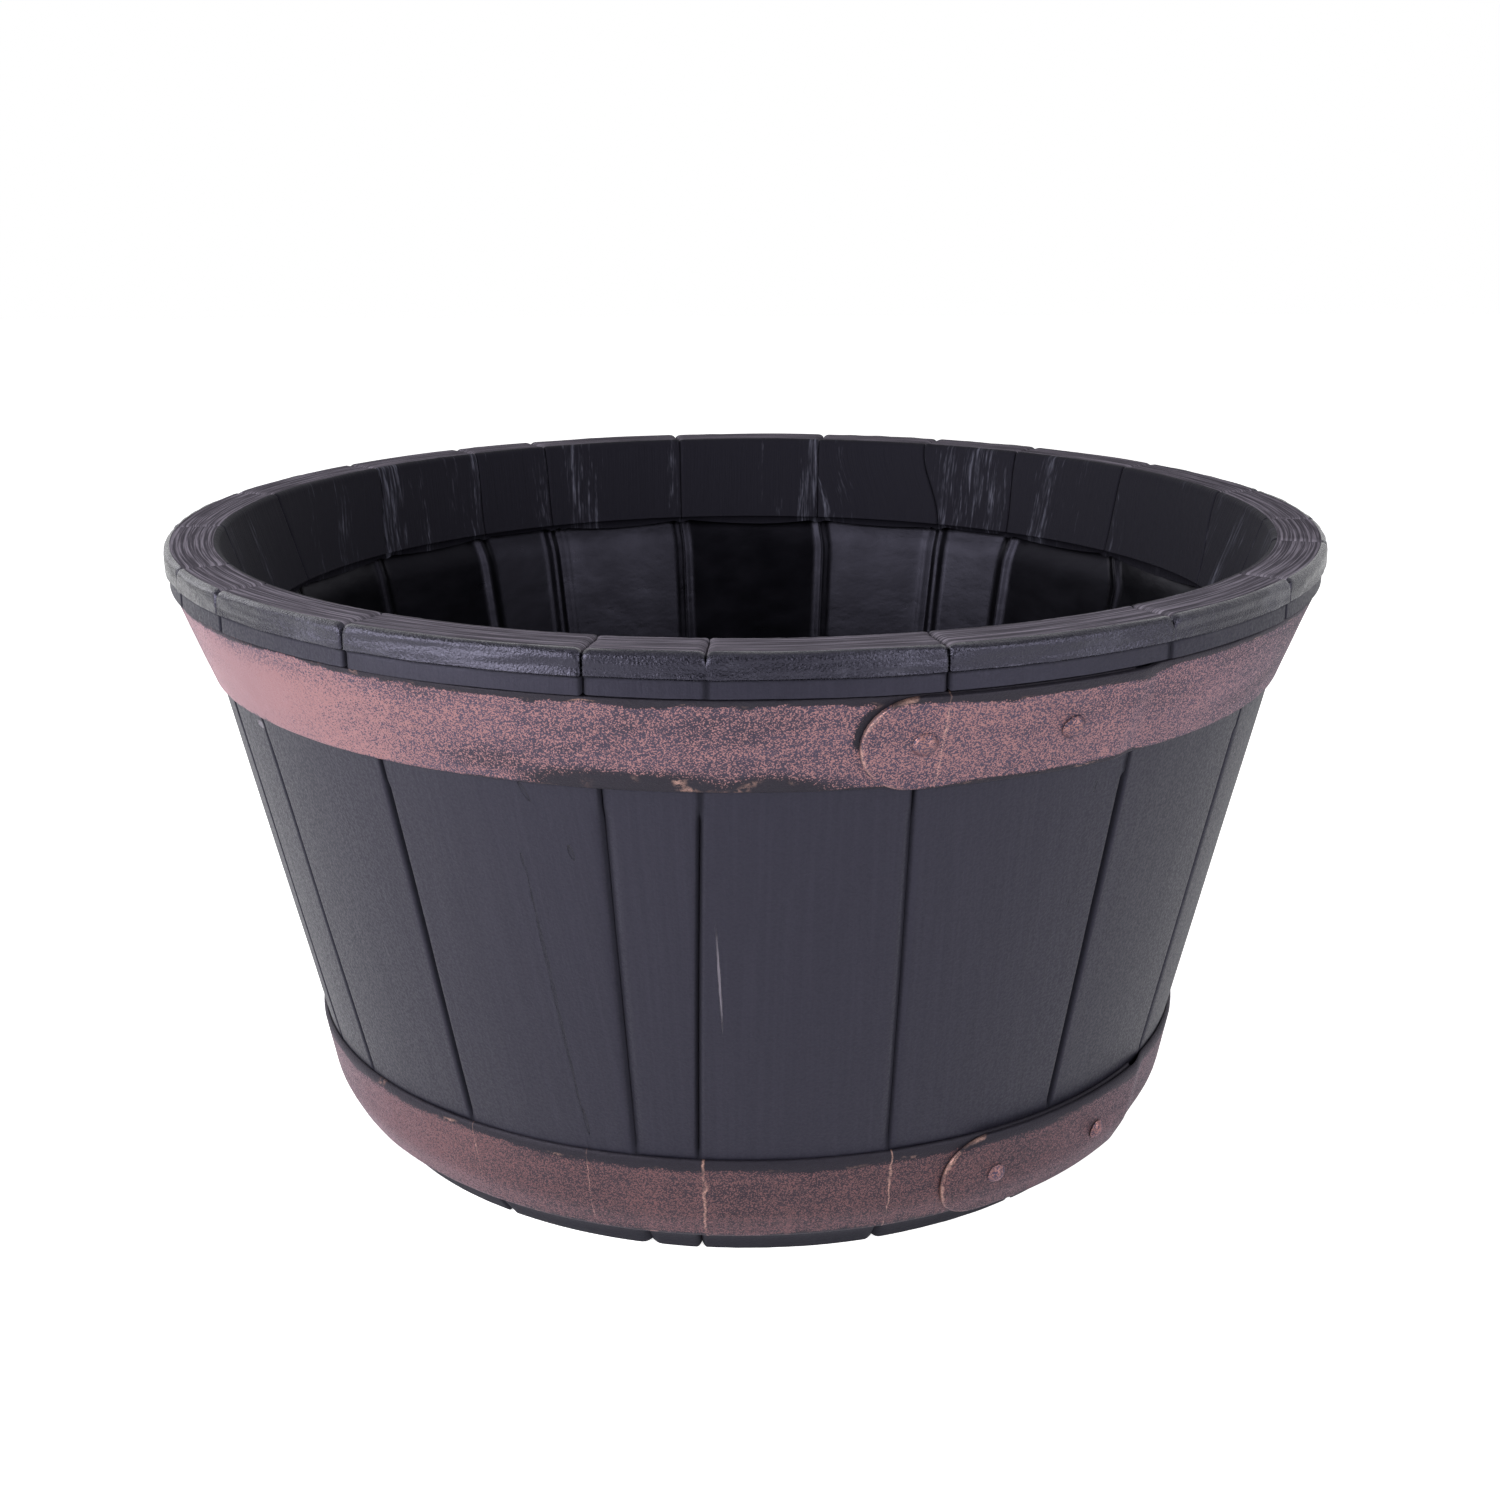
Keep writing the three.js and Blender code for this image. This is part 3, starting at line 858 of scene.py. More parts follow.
@dataclass(frozen=True)
class TurnedDowel(Finish):
    """Plain hardwood of the dowels inside the bottom."""

    name: str = "turned_dowel"
    colour: Colour = (0.40, 0.26, 0.14)
    dark: Colour = (0.28, 0.16, 0.08)
    roughness: float = 0.6
    relief: float = 0.2 * MM
    grain_stretch: Triple = (1.0, 12.0, 12.0)
    grain_lines: Triple = (60.0, 60.0, 60.0)

    def look(self, graph: Graph, effects: Effects) -> dict[str, Socket]:
        """Returns the grain, darker between its fibres."""
        along = graph.stretched(object_coordinates(graph), self.grain_stretch)
        grain = graph.place(effects.grain, {"Vector": along, "Lines": self.grain_lines})
        tint = graph.mix(grain["Mask"], opaque(self.colour), opaque(self.dark))
        return {"Base Color": tint, "Height": grain["Height"]}


# ------------------------------------------------------------------ studio


@dataclass(frozen=True)
class Lamp:
    """A soft square lamp: its name, where it hangs and its strength in watts."""

    name: str
    place: Triple
    power: float


@dataclass
class Studio:
    """The camera, lamps, world and floor."""

    camera_place: Triple = (0.00166, -0.8909, 0.429)
    camera_pitch: float = 0.2983
    camera_roll: float = -0.0037
    focal_share: float = 2022.0 / 1500.0
    sensor: float = 36.0
    nearest: float = 0.01
    lamp_size: float = 0.9
    lamp_target: Triple = (0.0, 0.0, 0.15)
    lamps: tuple[Lamp, ...] = (
        Lamp("left_softbox", (-1.42, -0.82, 0.7), 22.0),
        Lamp("left_fill", (-1.05, -1.25, 0.7), 13.0),
        Lamp("right_fill", (1.05, -1.25, 0.7), 14.0),
        Lamp("right_softbox", (1.42, -0.82, 0.7), 4.0),
        Lamp("top_softbox", (0.0, -1.0, 1.8), 7.0),
        Lamp("back_softbox", (-1.3, 0.8, 0.9), 5.0),
    )
    floor_size: float = 8.0
    floor_drop: float = 0.0002
    floor_colour: Colour = (0.9, 0.9, 0.9)
    floor_glow: float = 0.92
    mirrored_glow: float = 0.5
    world_levels: Point = (0.05, 0.30)
    world_turn: Point = (-0.35, 0.25)

    def build_camera(self) -> None:
        """Sets up the camera at the photograph's viewing angle."""
        data = bpy.data.cameras.new("camera")
        data.sensor_width = self.sensor
        data.lens = self.focal_share * self.sensor
        data.clip_start = self.nearest
        camera = bpy.data.objects.new("camera", data)
        bpy.context.collection.objects.link(camera)
        tilt = Matrix.Rotation(math.pi / 2 - self.camera_pitch, 4, "X")
        roll = Matrix.Rotation(self.camera_roll, 4, "Z")
        camera.matrix_world = Matrix.Translation(self.camera_place) @ tilt @ roll
        bpy.context.scene.camera = camera

    def hang(self, lamp: Lamp) -> None:
        """Hangs a lamp and turns it to the tub."""
        data = bpy.data.lights.new(lamp.name, "AREA")
        data.shape = "RECTANGLE"
        data.size = data.size_y = self.lamp_size
        data.energy = lamp.power
        light = bpy.data.objects.new(lamp.name, data)
        bpy.context.collection.objects.link(light)
        light.location = lamp.place
        direction = Vector(self.lamp_target) - Vector(lamp.place)
        light.rotation_euler = direction.to_track_quat("-Z", "Y").to_euler()

    @staticmethod
    def shown(graph: Graph, mirrored_share: object) -> Socket:
        """Returns 1 to the camera, a share of it to mirrored or refracted rays, else 0."""
        path = graph.add("NodeLightPath").outputs
        mirrored = graph.plus(path["Is Glossy Ray"], path["Is Transmission Ray"])
        return graph.plus(path["Is Camera Ray"], graph.times(mirrored, mirrored_share))

    def build_world(self) -> None:
        """Makes the world white to the camera and brighter behind the tub than before it."""
        world = bpy.data.worlds.new("studio")
        world.use_nodes = True
        bpy.context.scene.world = world
        graph = Graph(world.node_tree)
        direction = graph.add("NodeTexCoord").outputs["Generated"]
        behind = graph.between(graph.part_of(direction, "Y"), *self.world_turn)
        level = graph.scaled(behind, *self.world_levels)
        graph.feed(world.node_tree.nodes["Background"], {
            "Color": WHITE, "Strength": graph.greater(level, self.shown(graph, behind))})

    def build_floor(self) -> None:
        """Lays a white floor that keeps a faint shadow of the tub."""
        deselect_all()
        bpy.ops.mesh.primitive_plane_add(size=self.floor_size,
                                         location=(0.0, 0.0, -self.floor_drop))
        floor = bpy.context.active_object
        floor.name = "floor"
        apply_place(floor)
        material = bpy.data.materials.new("white_floor")
        material.use_nodes = True
        graph = Graph(material.node_tree)
        glow = graph.times(self.shown(graph, self.mirrored_glow), self.floor_glow)
        graph.feed(material.node_tree.nodes["Principled BSDF"], {
            "Base Color": opaque(self.floor_colour), "Roughness": 1.0,
            "Specular IOR Level": 0.0, "Emission Color": WHITE, "Emission Strength": glow})
        floor.data.materials.append(material)

    def build(self) -> None:
        """Builds the whole studio."""
        self.build_camera()
        self.build_world()
        self.build_floor()
        for lamp in self.lamps:
            self.hang(lamp)
        bpy.context.scene.view_settings.view_transform = "Standard"


# ------------------------------------------------------------------ staves


class Zone(Enum):
    """The stretches of a stave's surface, by the finish that each one carries."""

    OUTSIDE = "charcoal_stain"
    EDGE = "scuffed_edge"
    TOP = "sawn_top"
    BAND = "matt_band"
    INSIDE = "black_pitch"


@dataclass(frozen=True)
class Corner:
    """A corner of the stave's outline, and the stretch that starts there."""

    radius: float
    height: float
    zone: Zone
    spacing: float


@dataclass(frozen=True)
class Trace:
    """A fine point of the outline, with its way out and its distance round the outline."""

    radius: float
    height: float
    out_radius: float
    out_height: float
    along: float
    zone: Zone


@dataclass(frozen=True)
class JointStyle:
    """How one joint runs and how open it is, as the photograph shows it.

    Outside holds its azimuths under the upper hoop and over the lower one, and inside those at
    the low edge of the band and on the wall, in degrees. Without them the joint runs straight.
    Width and depth are those of the eased edges in millimetres. Slit says how deep the joint cuts
    through the lip, from 0 to 1, and twin how far a second bead of pitch stands from it inside.
    A soft joint is a rounded hollow, and any other one a sharp groove.
    """

    outside: Point | None = None
    inside: Point | None = None
    width: float = 1.8
    depth: float = 2.0
    slit: float = 0.8
    twin: float = 0.0
    soft: bool = False


# The waves of each stretch, the saw's marks round the top, and how proud a whole stave stands
BROAD = (0.045, 0.09)
WAVES: dict[Zone, tuple[Wave, ...]] = {
    Zone.OUTSIDE: (Wave(*BROAD, 0.28 * MM, 0.0), Wave(0.004, 0.06, 0.09 * MM, 1.0)),
    Zone.EDGE: (Wave(0.007, 0.004, 0.32 * MM, 2.0), Wave(0.025, math.inf, 0.35 * MM, 3.0)),
    Zone.TOP: (Wave(*BROAD, 0.3 * MM, 0.0),),
    Zone.BAND: (Wave(*BROAD, 0.2 * MM, 0.0), Wave(0.003, 0.05, 0.14 * MM, 5.0)),
    Zone.INSIDE: (Wave(*BROAD, 0.5 * MM, 0.0),),
}
SAW_MARKS = Wave(0.05, 0.0022, 0.10 * MM, 4.0)
PROUD = Wave(1.0, 1.0, 0.25 * MM, 1.0)


@dataclass(frozen=True)
class JointLine:
    """The line between two staves: the frame's azimuths at the foot and the rim, and its style.

    The spans are stretches of height, as a low end and a length, that it bends along: inside on
    the band and just under it, and outside on the wall between the hoops and up to the lip.
    """

    foot: float
    rim: float
    style: JointStyle
    band: Point = (0.223, 0.040)
    under_band: Point = (0.205, 0.018)
    body: Point = (0.052, 0.159)
    lip: Point = (0.215, 0.033)

    def azimuth(self, trace: Trace, share_up: float) -> float:
        """Returns the joint's azimuth at a point of the outline, a share of the way up."""
        straight = lerp(self.foot, self.rim, share_up)

        def near(degrees: float) -> float:
            """Returns an azimuth in radians, within half a turn of the straight joint."""
            return straight + math.remainder(math.radians(degrees) - straight, FULL_TURN)

        if trace.zone in (Zone.BAND, Zone.INSIDE):
            if self.style.inside is None:
                return straight
            low, wall = map(near, self.style.inside)
            if trace.zone is Zone.BAND:
                return lerp(low, self.rim, smooth(up_span(trace.height, self.band)))
            return lerp(wall, low, smooth(up_span(trace.height, self.under_band)))
        if self.style.outside is None:
            return straight
        high, low = map(near, self.style.outside)
        body = lerp(low, high, up_span(trace.height, self.body))
        return lerp(body, self.rim, smooth(up_span(trace.height, self.lip)))


@dataclass
class StaveRing:
    """The ring of staves, each modelled as a straight board and then bent to the tub.

    Lengths are in metres, apart from the distances of the edge columns and the width and depth
    of the joints on the lip, the top and the band, which are in millimetres.
    """

    height: float = 0.265
    rim_radius: float = 0.250
    foot_radius: float = 0.175
    rim_thickness: float = 0.023
    rim_rounding: float = 0.0026
    lip_height: float = 0.016
    lip_depth: float = 0.0032
    tier_height: float = 0.009
    tier_setback: float = 0.0014
    band_depth: float = 0.042
    band_taper: float = 0.31
    band_chamfer: float = 0.0016
    wall: float = 0.013
    foot_height: float = 0.013
    foot_bevel: float = 0.010
    foot_face: float = 0.009
    croze_height: float = 0.024
    croze_width: float = 0.0076
    croze_depth: float = 0.005
    upper_flare: float = 0.373
    upper_width: float = 0.0393
    lower_flare: float = 0.185
    lower_width: float = 0.040
    turned_in_flare: float = 0.525
    turned_in_width: float = 0.0135
    slack: float = 0.00015
    gap: float = 0.00002
    flatness: float = 0.85
    flattened: Point = (0.040, 0.020)
    bead_height: float = 0.0016
    bead_reach: float = 0.0048
    twin_reach: float = 0.0026
    twin_share: float = 0.6
    hoop_middle: float = 0.04
    lip_start: float = 0.2
    joint_start: Point = (0.0525, 0.003)
    top_start: Point = (0.005, 0.004)
    lip_joint: Point = (1.2, 1.6)
    top_joint: Point = (3.2, 2.2)
    band_joint: Point = (1.6, 1.0)
    sharpness: float = 0.7
    softness: float = 1.8
    edge_wear: float = 0.8
    corner_wear: float = 0.3
    corner_reach: float = 0.006
    # Painted shade at the foot and in the joints: its strength, height and reach.
    foot_shade: float = 0.8
    foot_shade_span: Point = (0.006, 0.010)
    soft_joint_shade: float = 0.8
    joint_shade_reach: float = 1.3
    pattern: float = 3.7
    proud_pattern: float = 1.7
    grain_shift: float = 0.137
    hoop_gap: float = 0.0003
    foot_band: float = 0.0005
    rim_band: float = 0.0015
    crease: float = 50.0
    count: int = 21
    board_width: float = 0.060
    edge_columns: tuple[float, ...] = (0.25, 0.6, 1.1, 1.8, 2.8, 4.2, 6.0)
    middle_columns: int = 22
    traces: list[Trace] = field(default_factory=list)

    # The joints that the photograph shows, numbered from 0 at the left of stave_01
    styles: dict[int, JointStyle] = field(default_factory=lambda: {
        0: JointStyle(inside=(-170.5, -170.85)),
        1: JointStyle(inside=(-151.0, -151.3), twin=-6.5),
        2: JointStyle(inside=(-140.1, -140.7)),
        3: JointStyle(inside=(-122.4, -122.4)),
        7: JointStyle(outside=(-54.6, -53.2), width=1.5, depth=1.6, slit=0.4),
        8: JointStyle(outside=(-35.0, -34.0), width=1.9, depth=2.4, slit=1.0),
        9: JointStyle(outside=(-12.54, -12.66), width=4.0, depth=1.9, slit=1.0, soft=True),
        10: JointStyle(outside=(-3.86, -5.48), width=1.6, depth=2.4, slit=0.0),
        11: JointStyle(outside=(14.65, 16.13), width=3.2, depth=1.7, slit=1.0, soft=True),
        12: JointStyle(outside=(37.4, 38.2), width=1.9, depth=2.4, slit=0.1),
        13: JointStyle(outside=(57.8, 58.8), width=3.0, depth=1.7, slit=0.8, soft=True),
        16: JointStyle(inside=(100.0, 99.5)),
        17: JointStyle(inside=(122.4, 120.3)),
        18: JointStyle(inside=(140.1, 140.75)),
        19: JointStyle(inside=(151.2, 151.4), twin=6.5),
        20: JointStyle(inside=(169.5, 168.75)),
    })

    def upper_seat(self) -> tuple[Point, ...]:
        """Returns the corners that the upper hoop bears on, from the bottom up."""
        neck = self.rim_radius - self.tier_setback - self.lip_depth
        top = self.height - self.lip_height - self.hoop_gap
        rise = self.upper_width / math.hypot(1.0, self.upper_flare)
        return (neck - self.upper_flare * rise, top - rise), (neck, top)

    def lower_seat(self) -> tuple[Point, ...]:
        """Returns the corners that the lower hoop bears on, from the bottom up."""
        radius = self.foot_radius + self.foot_bevel
        corners = [(radius, self.foot_height)]
        straight = self.lower_width - self.turned_in_width
        for flare, width in ((self.turned_in_flare, self.turned_in_width),
                             (self.lower_flare, straight)):
            rise = width / math.hypot(1.0, flare)
            corners.append((corners[-1][0] + flare * rise, corners[-1][1] + rise))
        return tuple(corners)

    def outline_corners(self) -> list[Corner]:
        """Returns the outline's corners, from the foot up the outside and down the inside."""
        foot, knee, lower_high = self.lower_seat()
        upper_low, upper_high = self.upper_seat()
        neck = (upper_high[0], self.height - self.lip_height)
        lip = neck[0] + self.lip_depth
        tier = self.height - self.tier_height
        inner = self.rim_radius - self.rim_thickness
        band_low = self.height - self.band_depth
        band_radius = inner - self.band_taper * self.band_depth
        band_wall = neck[0] - self.upper_flare * (upper_high[1] - band_low) - self.wall
        croze_top = self.croze_height + self.croze_width
        croze_middle = self.croze_height + self.croze_width / 2

        def inside(height: float) -> float:
            """Returns the inner radius of the wall at a height."""
            share = (height - lower_high[1]) / (upper_low[1] - lower_high[1])
            return lerp(lower_high[0], upper_low[0], share) - self.wall

        croze = inside(croze_middle) + self.croze_depth
        corners = [
            Corner(self.foot_radius, 0.0, Zone.OUTSIDE, 2.0),
            Corner(*foot, Zone.OUTSIDE, 9.0),
            Corner(*knee, Zone.OUTSIDE, 9.0),
            Corner(*lower_high, Zone.OUTSIDE, 3.2),
            Corner(*upper_low, Zone.OUTSIDE, 6.0),
            Corner(*neck, Zone.OUTSIDE, 1.1),
            Corner(lip, neck[1], Zone.OUTSIDE, 0.9),
            Corner(lip, tier - self.tier_setback / 2, Zone.EDGE, 0.5),
            Corner(self.rim_radius, tier, Zone.EDGE, 0.8),
        ]
        corners += self.rounded(self.rim_radius - self.rim_rounding, 0.0, Zone.EDGE)
        corners.append(Corner(self.rim_radius - self.rim_rounding, self.height, Zone.TOP, 1.3))
        corners += self.rounded(inner + self.rim_rounding, 90.0, Zone.BAND)
        corners += [
            Corner(inner, self.height - self.rim_rounding, Zone.BAND, 2.6),
            Corner(band_radius, band_low + self.band_chamfer, Zone.BAND, 0.8),
            Corner(band_radius + self.band_chamfer, band_low, Zone.INSIDE, 1.5),
            Corner(band_wall, band_low, Zone.INSIDE, 4.0),
            Corner(upper_low[0] - self.wall, upper_low[1], Zone.INSIDE, 4.5),
            Corner(inside(croze_top), croze_top, Zone.INSIDE, 6.0),
            Corner(croze, croze_top, Zone.INSIDE, 9.0),
            Corner(croze, self.croze_height, Zone.INSIDE, 6.0),
            Corner(inside(self.croze_height), self.croze_height, Zone.OUTSIDE, 6.0),
            Corner(self.foot_radius - self.foot_face, 0.0, Zone.OUTSIDE, 3.0),
        ]
        return corners

    def rounded(self, centre: float, start: float, zone: Zone) -> list[Corner]:
        """Returns a quarter round at the top of the rim, without its last corner.

        Args:
            centre: The radius of the rounding's centre.
            start: The angle that it starts at, in degrees.
            zone: The finish that it carries.

        Returns:
            Its corners in order.
        """
        base = self.height - self.rim_rounding
        angles = [math.radians(start + 90.0 * share) for share in (0.0, 0.25, 0.5, 0.75)]
        return [Corner(centre + self.rim_rounding * math.cos(angle),
                       base + self.rim_rounding * math.sin(angle), zone, 2.0)
                for angle in angles]

    def trace_outline(self) -> None:
        """Sets the fine points of the outline, evenly along each stretch."""
        corners = self.outline_corners()
        points: list[tuple[float, float, Zone]] = []
        for this, following in zip(corners, corners[1:] + corners[:1]):
            length = math.hypot(following.radius - this.radius, following.height - this.height)
            count = max(1, round(length / (this.spacing * MM)))
            for step in range(count):
                share = step / count
                points.append((lerp(this.radius, following.radius, share),
                               lerp(this.height, following.height, share), this.zone))
        along = 0.0
        self.traces = []
        for index, (radius, height, zone) in enumerate(points):
            before = points[index - 1]
            after = points[(index + 1) % len(points)]
            if index:
                along += math.hypot(radius - before[0], height - before[1])
            run = Vector((after[0] - before[0], after[1] - before[1])).normalized()
            self.traces.append(Trace(radius, height, run.y, -run.x, along, zone))

    def columns(self) -> list[float]:
        """Returns the distances across the straight board where it has an edge."""
        edge = [distance * MM for distance in self.edge_columns]
        first = edge[-1]
        last = self.board_width - first
        middle = [lerp(first, last, step / self.middle_columns)
                  for step in range(1, self.middle_columns)]
        far = [self.board_width - distance for distance in reversed(edge)]
        return [0.0, *edge, *middle, *far, self.board_width]

    def build_board(self) -> bpy.types.Object:
        """Models one straight board with the stave's outline, by extruding it across.

        Returns:
            The board, with its width along X, its depth along Y and its height along Z.
        """
        board = draw_path([(0.0, trace.radius, trace.height) for trace in self.traces])
        bpy.ops.mesh.edge_face_add()
        bpy.ops.mesh.select_all(action="SELECT")
        columns = self.columns()
        for before, column in zip(columns, columns[1:]):
            step = (column - before, 0.0, 0.0)
            bpy.ops.mesh.extrude_region_move(TRANSFORM_OT_translate={"value": step})
        bpy.ops.mesh.select_all(action="SELECT")
        bpy.ops.mesh.normals_make_consistent(inside=False)
        bpy.ops.object.mode_set(mode="OBJECT")
        apply_modifier(board, "TRIANGULATE", min_vertices=5)
        return board

    def joints_of(self, node: bpy.types.Object, index: int) -> tuple[JointLine, JointLine]:
        """Reads where the joints of a stave of the frame run at the foot and at the rim.

        Args:
            node: The frame's stave.
            index: Which stave it is.

        Returns:
            The joint at its left and the joint at its right, seen from outside.
        """
        places = [vertex.co for vertex in node.data.vertices]
        centre = sum(places, Vector()) / len(places)
        middle = math.atan2(centre.x, -centre.y)

        def ends(chosen: list[Vector], radius: float) -> tuple[float, float]:
            """Returns the lowest and highest azimuth of some points, widened to the joints."""
            turned = [math.atan2(co.x, -co.y) - middle for co in chosen]
            turned = [math.remainder(angle, FULL_TURN) for angle in turned]
            slack = self.slack / radius
            return min(turned) + middle - slack, max(turned) + middle + slack

        foot = ends([co for co in places if co.z < self.foot_band], self.foot_radius)
        rim = ends([co for co in places if co.z > self.height - self.rim_band],
                   self.rim_radius)
        left = self.styles.get(index, JointStyle())
        right = self.styles.get((index + 1) % self.count, JointStyle())
        return JointLine(foot[0], rim[0], left), JointLine(foot[1], rim[1], right)

    def bend(self, board: bpy.types.Object, index: int, node: bpy.types.Object) -> None:
        """Bends a straight board to its place in the ring, and eases and weathers it.

        Args:
            board: The straight board, changed in place.
            index: Which stave it is.
            node: The frame's stave that it stands for.
        """
        left, right = self.joints_of(node, index)
        places = KDTree(len(self.traces))
        for number, trace in enumerate(self.traces):
            places.insert((0.0, trace.radius, trace.height), number)
        places.balance()
        mesh = board.data
        # Painted per point: the lip's rub, and painted shade in the joints and at the foot.
        rub_and_shade = mesh.attributes.new("rub_and_shade", "FLOAT", "POINT")
        across: list[float] = []
        along: list[float] = []
        for vertex in mesh.vertices:
            trace = self.traces[places.find((0.0, vertex.co.y, vertex.co.z))[1]]
            share_up = trace.height / self.height
            start = left.azimuth(trace, share_up) + self.gap / trace.radius
            end = right.azimuth(trace, share_up) - self.gap / trace.radius
            width = math.remainder(end - start, FULL_TURN) * trace.radius
            distance = self.spread(vertex.co.x, width)
            near, aside, joint = distance, distance, left
            if distance > width / 2:
                near, aside, joint = width - distance, distance - width, right
            inset = self.inset(trace, near, aside, joint.style)
            push = self.weather(trace, distance, index) - inset
            push += self.flattening(trace, distance, width)
            radius = trace.radius + trace.out_radius * push
            height = max(trace.height + trace.out_height * push, 0.0)
            vertex.co = on_ring(radius, start + distance / trace.radius, height)
            across.append(distance + index * self.grain_shift)
            along.append(trace.along)
            rub_and_shade.data[vertex.index].value = self.rub_and_shade_at(trace, near, joint.style)
        grain = mesh.uv_layers.new(name=GRAIN_MAP)
        for loop in mesh.loops:
            corner = loop.vertex_index
            grain.data[loop.index].uv = (across[corner], along[corner])
        self.assign_zones(mesh, along)

    def spread(self, x: float, width: float) -> float:
        """Returns where a column of the straight board lies across a stave of another width.

        Args:
            x: The column's distance across the straight board.
            width: The stave's own width.

        Returns:
            Its distance from the stave's left edge. Columns near the edges keep their spacing.
        """
        edge = self.edge_columns[-1] * MM
        if x <= edge:
            return x
        if x >= self.board_width - edge:
            return width - (self.board_width - x)
        share = (x - edge) / (self.board_width - 2 * edge)
        return lerp(edge, width - edge, share)

    def inset(self, trace: Trace, near: float, aside: float, style: JointStyle) -> float:
        """Returns how far the surface is eased back near a joint.

        Args:
            trace: The point of the outline.
            near: Its distance from the nearest joint.
            aside: The same, less than 0 on the stave at the joint's left.
            style: That joint's style.

        Returns:
            The inset, which is negative where pitch stands in a bead along the joint.
        """
        if trace.zone is Zone.INSIDE:
            bead = smooth(1.0 - near / self.bead_reach)
            if style.twin:
                twin = smooth(1.0 - abs(aside - style.twin * MM) / self.twin_reach)
                bead = max(bead, self.twin_share * twin)
            return -self.bead_height * bead
        width, depth = style.width, style.depth
        sharp = 0.0 if style.soft or trace.zone is not Zone.OUTSIDE else self.sharpness
        if trace.zone is Zone.BAND:
            width, depth = self.band_joint
        elif trace.zone is not Zone.OUTSIDE or trace.height >= self.lip_start:
            start, length = self.top_start
            on_top = smooth((trace.height - self.height + start) / length)
            width = lerp(self.lip_joint[0], self.top_joint[0], on_top)
            depth = lerp(self.lip_joint[1] * style.slit, self.top_joint[1], on_top)
        elif trace.height > self.hoop_middle:
            depth *= smooth(up_span(trace.height, self.joint_start))
        width, depth = width * MM, depth * MM
        if near >= width:
            return 0.0
        share = 1.0 - max(near, 0.0) / width
        if style.soft and trace.zone is Zone.OUTSIDE:
            return depth * share ** self.softness
        return depth * lerp(1.0 - math.sqrt(1.0 - share * share), share, sharp)

    def flattening(self, trace: Trace, distance: float, width: float) -> float:
        """Returns how far the staves' flat inner faces stand in from a round wall."""
        if trace.zone is not Zone.INSIDE:
            return 0.0
        aside = distance - width / 2
        bow = (width * width / 4 - aside * aside) / (2 * trace.radius)
        return bow * self.flatness * smooth(up_span(trace.height, self.flattened))

    def weather(self, trace: Trace, distance: float, index: int) -> float:
        """Returns how far weathering and grain move the surface outwards.

        Args:
            trace: The point of the outline.
            distance: Its distance from the stave's left edge.
            index: Which stave it is.

        Returns:
            The movement along the surface's way out.
        """
        seed = index * self.pattern
        push = sum(wave.at(distance, trace.along, seed) for wave in WAVES[trace.zone])
        if trace.zone in (Zone.OUTSIDE, Zone.EDGE):
            push += PROUD.at(index * self.proud_pattern, 0.5)
        elif trace.zone is Zone.TOP:
            push += SAW_MARKS.at(distance, trace.radius, seed)
        return push

    def rub_and_shade_at(self, trace: Trace, near: float, style: JointStyle) -> float:
        """Returns how much the lip is rubbed, or elsewhere how dark painted shade makes the joints
        and the foot, from 0 to 1.
        """
        if trace.zone is Zone.EDGE:
            corner = self.corner_wear * smooth(1.0 - near / self.corner_reach)
            return min(1.0, self.edge_wear + corner)
        # Painted shade in the joint grooves and round the foot, where shade falls.
        reach = style.width * MM * (0.5 if style.soft else 1.0)
        joint = smooth(self.joint_shade_reach - near / reach) * (self.soft_joint_shade if style.soft else 1.0)
        foot = smooth(1.0 - up_span(trace.height, self.foot_shade_span))
        return max(self.foot_shade * foot, joint)

    def assign_zones(self, mesh: bpy.types.Mesh, along: list[float]) -> None:
        """Gives every face the finish of the stretch of outline that it lies on."""
        zone_at = {round(trace.along, 6): trace.zone for trace in self.traces}
        order = list(Zone)
        for polygon in mesh.polygons:
            marks = [along[corner] for corner in polygon.vertices]
            low, high = min(marks), max(marks)
            side = polygon.loop_total == 3
            closing = high - low > 0.5 * self.traces[-1].along
            zone = Zone.OUTSIDE if side or closing else zone_at[round(low, 6)]
            polygon.material_index = order.index(zone)

    def build(self, frame: dict, finishes: Finishes) -> None:
        """Builds and dresses every stave.

        Args:
            frame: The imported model.
            finishes: The materials by name.
        """
        self.trace_outline()
        board = self.build_board()
        order = [finishes[zone.value] for zone in Zone]
        names = sorted(name for name in frame["nodes"] if name.startswith("stave_"))
        for index, name in enumerate(names):
            piece = copy_of(board, f"{name}_fine")
            self.bend(piece, index, frame["nodes"][name])
            dress(piece, name, order, self.crease)
        discard(board)


# ------------------------------------------------------------------ hoops and rivets


@dataclass(frozen=True)
class Patch:
    """A soft patch on a hoop: its azimuth and spread in degrees, and its strength.

    Level is how far up the strip its middle lies, where that matters.
    """

    azimuth: float
    spread: float
    strength: float
    level: float = 0.0

    def at(self, degrees: float, above: float = 0.0) -> float:
        """Returns its strength at an azimuth, some spreads above its middle."""
        aside = math.remainder(degrees - self.azimuth, 360.0) / self.spread
        return self.strength * math.exp(-aside * aside - above * above)


